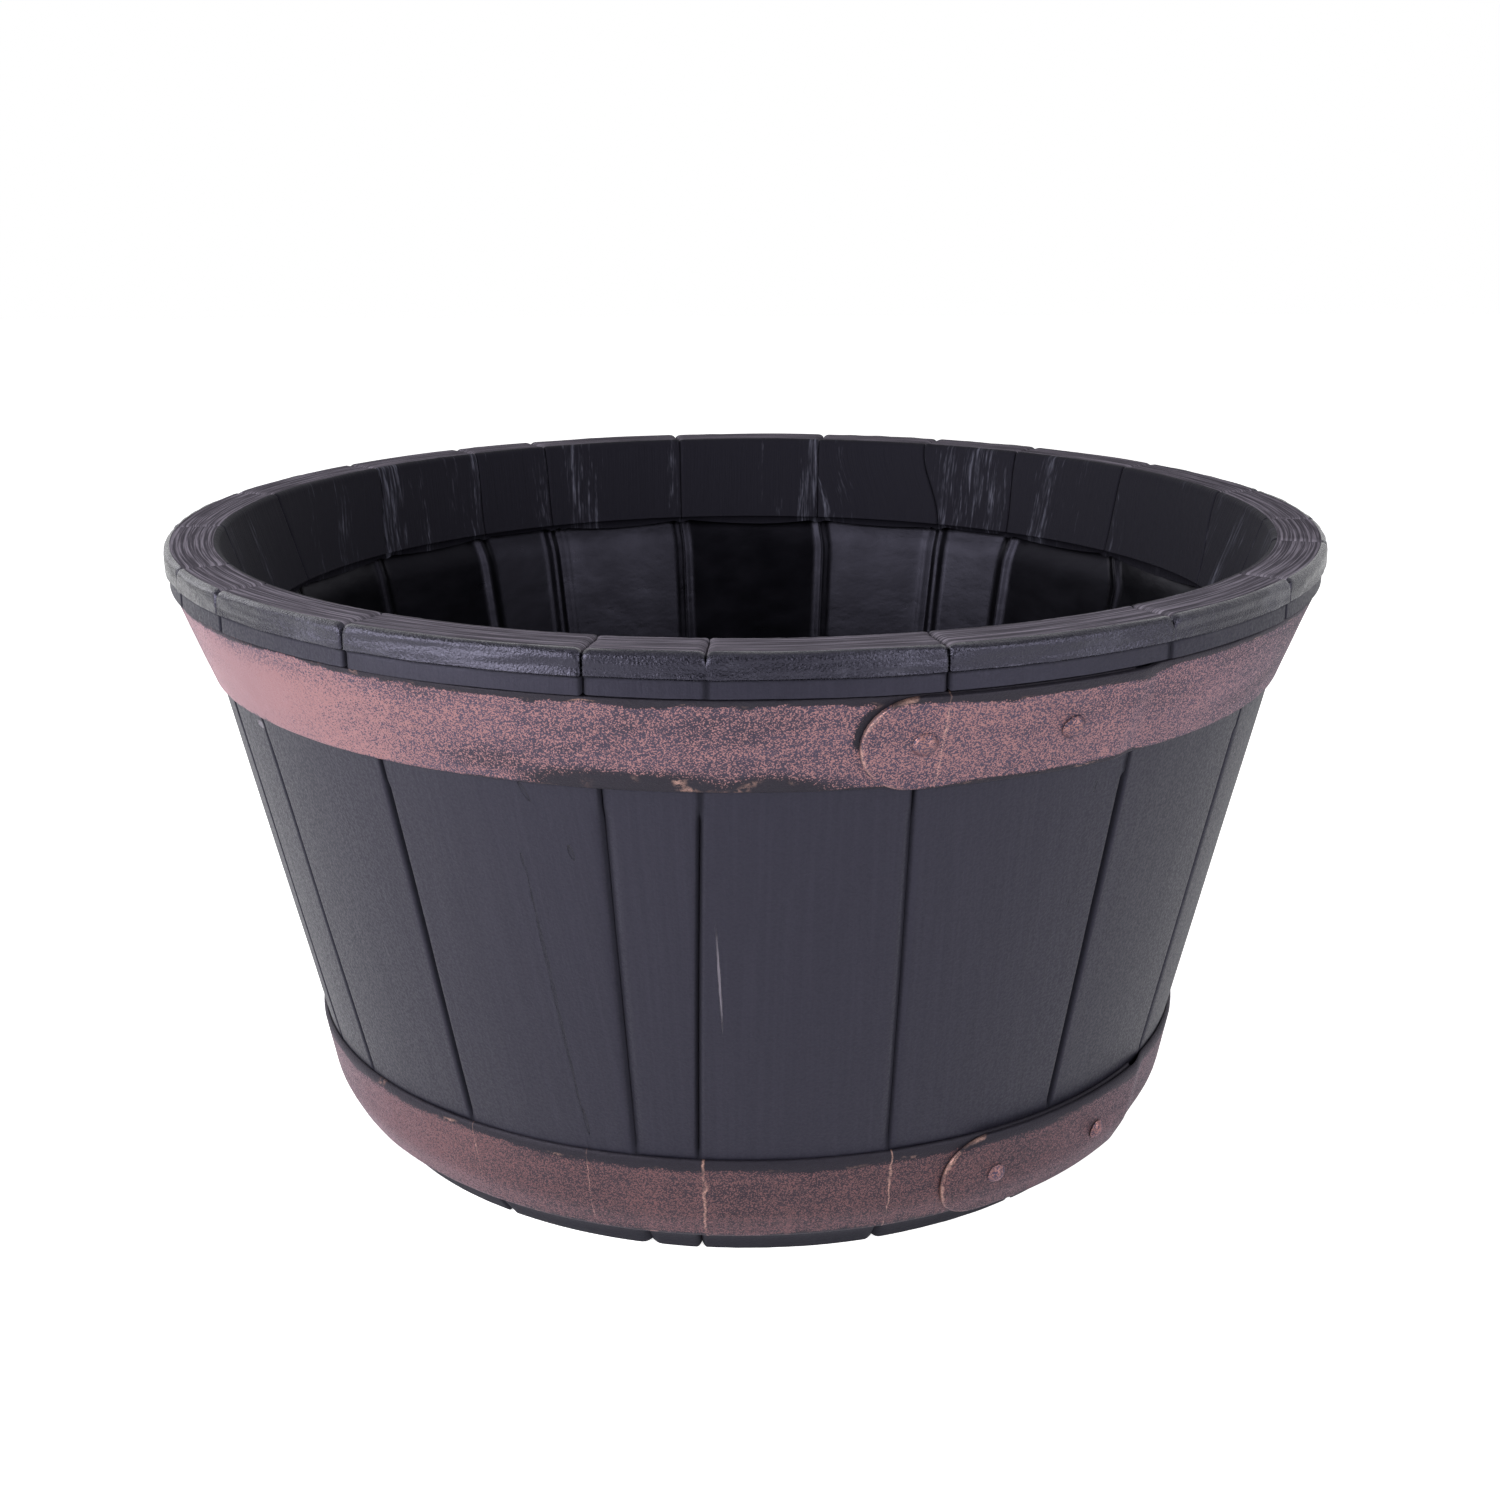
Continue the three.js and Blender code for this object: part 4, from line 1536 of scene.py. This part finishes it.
@dataclass
class Hoop:
    """A flat strip bent to a cone and lapped over itself, with rivets through the lap.

    Creases hold the azimuth in degrees and the strength of each fold that shows a joint behind.
    """

    name: str
    seat: tuple[Point, ...]
    finish: str
    lap_azimuth: float
    setback: float
    spacing: float
    head_radius: float
    head_rise: float
    bare_top: float
    bare_bottom: float
    fade: float = 0.0018
    foot_fade: float = 0.0018
    bare_patches: tuple[Patch, ...] = ()
    patch_height: float = 0.006
    # Patches of denser copper that paint a sheen where the light falls on the hoop.
    sheen_patches: tuple[Patch, ...] = ()
    swells: tuple[Patch, ...] = ()
    wobbles: tuple[Wave, ...] = (Wave(0.02, math.inf, 0.0016, 5.0),
                                 Wave(0.006, math.inf, 0.0010, 6.0))
    most_wobble: float = 0.002
    dents: tuple[Wave, ...] = (Wave(0.05, 0.03, 0.22 * MM, 8.0),
                               Wave(0.012, 0.012, 0.10 * MM, 9.0))
    creases: tuple[Point, ...] = ()
    crease_rise: float = 0.4 * MM
    crease_reach: float = 0.0012
    knot: Point = (0.009, 0.004)
    knot_strength: float = 1.2
    no_crease: float = 10.0
    # A shadow of the round end, painted as bare copper on the strip under it.
    tip_shade: float = 0.0
    shade_start: float = -0.03
    shade_level: Point = (-0.004, 0.008)
    shade_reach: float = 0.0036
    tip_reach: float = 3.0 * MM
    thickness: float = 0.0018
    clearance: float = 0.0003
    joggle: float = 0.014
    bend_length: float = 0.004
    top_roll: Point = (0.0009, 0.0006)
    low_roll: Point = (0.0011, 0.0008)
    rows: int = 24
    step: float = 0.0020
    sharpest_tip: float = 0.05
    shank_radius: float = 0.0025
    tail_radius: float = 0.0039
    tail_bevel: float = 0.0002
    tail_height: float = 0.0012
    head_share: float = 0.97
    dome_steps: int = 10
    rivet_facets: int = 40
    hammering: Wave = Wave(0.003, 0.003, 0.12 * MM, 0.0)
    crease: float = 60.0
    rivet_crease: float = 50.0

    def __post_init__(self) -> None:
        """Works out the strip's width, middle radius and lap."""
        corners = [Vector(corner) for corner in self.seat]
        self.facets = list(zip(corners, corners[1:]))
        self.width = sum((high - low).length for low, high in self.facets)
        self.middle_radius = self.profile(0.0)[0].x
        self.lap = 2 * self.setback + self.spacing
        self.length = FULL_TURN * self.middle_radius + self.lap
        self.outer = 2 * self.clearance + self.thickness

    def stand_off(self, distance: float) -> float:
        """Returns how far the strip's back stands off the staves at a distance along it."""
        share = (distance - self.lap - self.thickness) / self.joggle
        return lerp(self.outer, self.clearance, smooth(share))

    def profile(self, across: float) -> tuple[Vector, Vector]:
        """Follows the seat up the staves, with its bends rounded.

        Args:
            across: Up the strip, from its middle.

        Returns:
            The point of the seat, as radius and height, and its way out.
        """
        up = across + self.width / 2
        low, high = self.facets[0]
        run = (high - low).normalized()
        spot = low + run * up
        start, reach = 0.0, self.bend_length
        for (below, corner), (_, above) in zip(self.facets, self.facets[1:]):
            start += (corner - below).length
            aside = up - start
            if aside <= -reach:
                break
            before = (corner - below).normalized()
            after = (above - corner).normalized()
            run = before.lerp(after, min((reach + aside) / (2 * reach), 1.0)).normalized()
            past = after * (reach + aside) ** 2 - before * (reach - aside) ** 2
            spot = corner + (after * aside if aside >= reach else past / (4 * reach))
        return spot, Vector((run.y, -run.x))

    def place(self, distance: float, across: float, out: float) -> Vector:
        """Returns a point of the bent strip.

        Args:
            distance: Along the strip, from the tip of its round end.
            across: Up the strip, from its middle.
            out: Out from the staves.

        Returns:
            The point in the tub's frame.
        """
        spot, outward = self.profile(across)
        spot = spot + outward * out
        azimuth = math.radians(self.lap_azimuth) + distance / self.middle_radius
        return on_ring(spot.x, azimuth, spot.y)

    def build_strip(self) -> bpy.types.Object:
        """Models the flat strip with a round end, and rows that crowd towards its edges.

        Returns:
            The strip, with its length along X, its width along Y and its thickness along Z.
        """
        deselect_all()
        count = round(self.length / self.step)
        bpy.ops.mesh.primitive_grid_add(x_subdivisions=count, y_subdivisions=self.rows, size=1.0)
        strip = bpy.context.active_object
        strip.scale = (self.length, self.width, 1.0)
        strip.location = (self.length / 2, 0.0, 0.0)
        apply_place(strip)
        half = self.width / 2
        for vertex in strip.data.vertices:
            vertex.co.y = half * math.sin(vertex.co.y / half * math.pi / 2)
            if vertex.co.x < half:
                angle = max(vertex.co.x / half, self.sharpest_tip) * math.pi / 2
                vertex.co.y *= math.sin(angle)
                vertex.co.x = half * (1.0 - math.cos(angle))
        apply_modifier(strip, "SOLIDIFY", thickness=self.thickness, offset=0.0)
        face_outwards(strip)
        return strip

    def from_edge(self, distance: float, across: float) -> float:
        """Returns how far a point of the strip lies from its outline."""
        half = self.width / 2
        if distance < half:
            return half - math.hypot(distance - half, across)
        return half - abs(across)

    def roll_off(self, distance: float, across: float) -> float:
        """Returns how far the strip's face drops where its edge is rolled."""
        width, drop = self.top_roll if across > 0.0 else self.low_roll
        near = self.from_edge(distance, across)
        if near >= width:
            return 0.0
        share = 1.0 - max(near, 0.0) / width
        return drop * (1.0 - math.sqrt(1.0 - share * share))

    def bare_at(self, distance: float, across: float) -> float:
        """Returns how thin the copper is, from 0 where it covers to 1 where it is missing, with a
        painted shadow of the round end, less where a sheen is painted.

        Args:
            distance: Along the strip.
            across: Up the strip, from its middle.

        Returns:
            The bareness.
        """
        degrees = self.degrees_at(distance)
        wobble = sum(wave.at(distance) for wave in self.wobbles)
        wobble += sum(swell.at(degrees) for swell in self.swells)
        from_top = self.width / 2 - across - self.bare_top - wobble
        from_bottom = self.width / 2 + across - self.bare_bottom - min(wobble, self.most_wobble)
        bare = [1.0 - smooth(from_top / self.fade + 0.5),
                1.0 - smooth(from_bottom / self.foot_fade + 0.5),
                self.shade_by_tip(distance, across)]
        bare += [patch.at(degrees, (across - patch.level) / self.patch_height)
                 for patch in self.bare_patches]
        # Painted sheen: the sheen patches thicken the copper where the light falls.
        return min(1.0, max(bare)) - sum(patch.at(degrees) for patch in self.sheen_patches)

    def degrees_at(self, distance: float) -> float:
        """Returns the azimuth in degrees at a distance along the strip."""
        return self.lap_azimuth + math.degrees(distance / self.middle_radius)

    def shade_by_tip(self, distance: float, across: float) -> float:
        """Returns a painted shadow of the round end on the strip that it laps over, as bareness from
        0 to 1.
        """
        under = distance - FULL_TURN * self.middle_radius
        if under <= self.shade_start:
            return 0.0
        beyond = math.hypot(under - self.width / 2, across) - self.width / 2
        level = smooth(up_span(across, self.shade_level))
        return self.tip_shade * level * (1.0 - smooth(beyond / self.shade_reach))

    def folds_at(self, point: Vector) -> tuple[float, float]:
        """Returns how far the creases raise the strip, and how far aside the nearest one lies.

        Args:
            point: A point of the flat strip.

        Returns:
            The rise in metres, and the distance in widths of the crease's rubbed line.
        """
        rise, nearest = 0.0, self.no_crease
        knot = 1.0 + self.knot_strength * math.exp(-up_span(point.y, self.knot) ** 2)
        for azimuth, strength in self.creases:
            turn = math.remainder(self.degrees_at(point.x) - azimuth, 360.0)
            aside = math.radians(turn) * self.middle_radius
            rise += self.crease_rise * strength * math.exp(-(aside / self.crease_reach) ** 2)
            nearest = min(nearest, aside / (MM * strength * knot), key=abs)
        return rise, nearest

    def bend(self, strip: bpy.types.Object) -> None:
        """Bends the flat strip round the tub and paints where its copper is worn."""
        mesh = strip.data
        painted: dict[str, list[float]] = {"bare": [], "seam": [], "crease": [], "tip": []}
        flat = [vertex.co.copy() for vertex in mesh.vertices]
        for vertex, point in zip(mesh.vertices, flat):
            rise, nearest = self.folds_at(point)
            rim = 1.0 - self.from_edge(point.x, point.y) / self.tip_reach
            painted["seam"].append(nearest)
            painted["crease"].append(smooth(2.2 - abs(nearest) / 3.0))
            painted["tip"].append(max(rim, 0.0) if point.x < self.width / 2 else 0.0)
            # Bareness, with the painted shadow of the round end and the painted sheen patches.
            painted["bare"].append(self.bare_at(point.x, point.y))
            out = self.stand_off(point.x) + self.thickness / 2 + point.z
            face = max(point.z, 0.0) / (self.thickness / 2)
            dent = sum(wave.at(point.x, point.y) for wave in self.dents) + rise
            dent -= self.roll_off(point.x, point.y)
            vertex.co = self.place(point.x, point.y, out + dent * face)
        for name, values in painted.items():
            mesh.attributes.new(name, "FLOAT", "POINT").data.foreach_set("value", values)
        grain = mesh.uv_layers.new(name=GRAIN_MAP)
        for loop in mesh.loops:
            point = flat[loop.vertex_index]
            grain.data[loop.index].uv = (point.x, point.y)

    def build_rivet(self, name: str, distance: float) -> bpy.types.Object:
        """Models a rivet: a hammered dome on a shank that ends in a flattened tail.

        Args:
            name: The piece's name.
            distance: Where it goes through the lap.

        Returns:
            The rivet in its place.
        """
        radius, rise = self.head_radius, self.head_rise
        tail = self.clearance - self.outer - self.thickness
        section = [(0.0, tail), (self.tail_radius - self.tail_bevel, tail),
                   (self.tail_radius, tail + self.tail_bevel),
                   (self.shank_radius, tail + self.tail_height),
                   (self.shank_radius, self.clearance / 2),
                   (radius * self.head_share, self.clearance / 2), (radius, self.clearance)]
        bulge = (radius * radius + rise * rise) / (2 * rise)
        half_angle = math.asin(radius / bulge)
        for step in range(1, self.dome_steps + 1):
            angle = half_angle * (1 - step / self.dome_steps)
            section.append((bulge * math.sin(angle),
                            self.clearance + rise - bulge * (1 - math.cos(angle))))
        rivet = turn_on_lathe(name, section, self.rivet_facets)
        for vertex in rivet.data.vertices:
            if vertex.co.z > self.clearance:
                vertex.co.z += self.hammering.at(vertex.co.x, vertex.co.y, distance * 100)
        azimuth = math.radians(self.lap_azimuth) + distance / self.middle_radius
        _, outward = self.profile(0.0)
        axis = on_ring(outward.x, azimuth, outward.y)
        spot = self.place(distance, 0.0, self.outer + self.thickness)
        turn = axis.to_track_quat("Z", "Y").to_matrix().to_4x4()
        rivet.data.transform(Matrix.Translation(spot) @ turn)
        return rivet

    def build(self, finishes: Finishes) -> None:
        """Builds and dresses the hoop and its rivets."""
        node = f"{self.name}_hoop"
        strip = self.build_strip()
        strip.name = f"{node}_fine"
        self.bend(strip)
        dress(strip, node, [finishes[self.finish]], self.crease)
        for number, distance in enumerate((self.setback, self.setback + self.spacing), 1):
            node = f"{self.name}_rivet_{number:02d}"
            rivet = self.build_rivet(f"{node}_fine", distance)
            dress(rivet, node, [finishes["rivet_copper"]], self.rivet_crease)


# ------------------------------------------------------------------ bottom


@dataclass
class Bottom:
    """The boards of the bottom, cut from one bevelled disc."""

    tongue_depth: float = 0.005
    bevel: float = 0.022
    thickness: float = 0.016
    tongue: float = 0.007
    drain_radius: float = 0.008
    drain_offset: float = 0.060
    drain_facets: int = 48
    disc_facets: int = 160
    edge: float = 0.0008
    edge_segments: int = 2
    edge_angle: float = 50.0
    crease: float = 30.0

    def build_disc(self, radius: float, middle: float) -> bpy.types.Object:
        """Models the whole bottom by spinning half of its section.

        Args:
            radius: The disc's radius.
            middle: The height of its middle.

        Returns:
            The disc.
        """
        flat = radius - self.tongue_depth - self.bevel
        shoulder = radius - self.tongue_depth
        half, tongue = self.thickness / 2, self.tongue / 2
        under = [(0.0, -half), (flat, -half), (shoulder, -tongue), (radius, -tongue)]
        above = [(across, -height) for across, height in reversed(under)]
        section = [(across, middle + height) for across, height in under + above]
        return turn_on_lathe("disc", section, self.disc_facets)

    @staticmethod
    def saw(board: bpy.types.Object, place: float, keep: int) -> None:
        """Saws a board along X = place and closes it.

        Args:
            board: The board to saw.
            place: Where the saw runs.
            keep: 1 keeps the side towards +X, -1 the other.
        """
        make_active(board)
        bpy.ops.object.mode_set(mode="EDIT")
        bpy.ops.mesh.select_all(action="SELECT")
        bpy.ops.mesh.bisect(plane_co=(place, 0.0, 0.0), plane_no=(-keep, 0.0, 0.0),
                            use_fill=True, clear_outer=True)
        bpy.ops.object.mode_set(mode="OBJECT")

    def drill(self, board: bpy.types.Object, place: Triple) -> None:
        """Drills a drain hole through a board."""
        deselect_all()
        bpy.ops.mesh.primitive_cylinder_add(
            vertices=self.drain_facets, radius=self.drain_radius, depth=4 * self.thickness,
            location=place)
        drill = bpy.context.active_object
        apply_modifier(board, "BOOLEAN", operation="DIFFERENCE", object=drill, solver="EXACT")
        discard(drill)

    def build(self, frame: dict, finishes: Finishes) -> None:
        """Builds and dresses every bottom board.

        Args:
            frame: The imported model.
            finishes: The materials by name.
        """
        names = sorted(name for name in frame["nodes"] if name.startswith("bottom_board_"))
        boxes = [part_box(name) for name in names]
        radius = max(abs(boxes[0][0][0]), abs(boxes[-1][1][0]))
        middle = (boxes[0][0][2] + boxes[0][1][2]) / 2
        disc = self.build_disc(radius, middle)
        last = len(names) - 1
        drains = {0.0: (0.0,), 1.0: (-self.drain_offset, self.drain_offset)}
        for index, (name, (low, high)) in enumerate(zip(names, boxes)):
            board = copy_of(disc, f"{name}_fine")
            if index > 0:
                self.saw(board, low[0], 1)
            if index < last:
                self.saw(board, high[0], -1)
            apply_modifier(board, "BEVEL", width=self.edge, segments=self.edge_segments,
                           limit_method="ANGLE", angle_limit=math.radians(self.edge_angle))
            for aside in drains.get(abs(index - last / 2), ()):
                self.drill(board, ((low[0] + high[0]) / 2, aside, middle))
            dress(board, name, [finishes["black_pitch"]], self.crease)
        discard(disc)


# ------------------------------------------------------------------ assembly


def build_finishes(effects: Effects) -> Finishes:
    """Returns every material by name."""
    finishes = [
        CharcoalStain(), ScuffedEdge(), SawnTop(), MattBand(), BlackPitch(), TurnedDowel(),
        CopperHoop(),
        CopperHoop(name="lower_copper", copper=(0.165, 0.086, 0.088), metallic=1.0,
                   bloom=(0.036, 0.025, 0.034), cover=0.37, drips=0.4,
                   streak_lines=(14.0, 320.0, 1.0), specks=2500.0),
        CopperHoop(name="rivet_copper", copper=(0.27, 0.14, 0.135), cover=0.5),
    ]
    return {finish.name: finish.build(effects) for finish in finishes}


def upper_hoop(seat: tuple[Point, ...]) -> Hoop:
    """Returns the hoop under the lip."""
    return Hoop(
        name="upper", seat=seat, finish="upper_copper", lap_azimuth=9.25, setback=0.0223,
        spacing=0.0568, head_radius=0.0048, head_rise=0.0028, bare_top=0.0016, bare_bottom=0.0,
        bare_patches=(Patch(-10.0, 8.0, 0.9, -0.0185), Patch(2.0, 4.0, 0.8, -0.0195),
                      Patch(-24.0, 6.0, 0.18, -0.0120), Patch(-48.0, 9.0, 0.5, 0.0170),
                      Patch(-30.0, 6.0, 0.35, 0.0165)),
        # Painted sheen on the left of the hoop where the lamps light it, and a little on the right.
        sheen_patches=(Patch(-50.0, 22.0, 0.75), Patch(26.0, 16.0, 0.16)),
        swells=(Patch(27.0, 11.0, 0.0024), Patch(-24.0, 5.0, 0.0014)),
        creases=((16.1, 0.45),), tip_shade=1.0)


def lower_hoop(seat: tuple[Point, ...]) -> Hoop:
    """Returns the hoop round the foot."""
    return Hoop(
        name="lower", seat=seat, finish="lower_copper", lap_azimuth=22.9, setback=0.0248,
        spacing=0.0577, head_radius=0.0041, head_rise=0.0022, bare_top=0.0034,
        # Painted sheen on the left of the hoop where the lamps light it.
        bare_bottom=0.001, sheen_patches=(Patch(-50.0, 18.0, 0.40),), fade=0.0040,
        creases=((-4.9, 0.8), (16.5, 0.5), (-33.6, 0.2), (-18.4, 0.2)),
        top_roll=(0.0030, 0.0014), low_roll=(0.0020, 0.0010))


def dress_dowels(frame: dict, finish: bpy.types.Material) -> None:
    """Gives the dowels inside the bottom their finish."""
    for name, node in frame["nodes"].items():
        if name.startswith("dowel_"):
            node.data.materials.clear()
            node.data.materials.append(finish)
            LOG.info("finished %s", name)


def main() -> None:
    """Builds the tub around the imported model."""
    logging.basicConfig(level=logging.INFO, format="%(name)s: %(message)s")
    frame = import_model()
    Studio().build()
    finishes = build_finishes(Effects())
    staves = StaveRing()
    staves.build(frame, finishes)
    upper_hoop(staves.upper_seat()).build(finishes)
    lower_hoop(staves.lower_seat()).build(finishes)
    Bottom().build(frame, finishes)
    dress_dowels(frame, finishes["turned_dowel"])


if __name__ == "__main__":
    main()
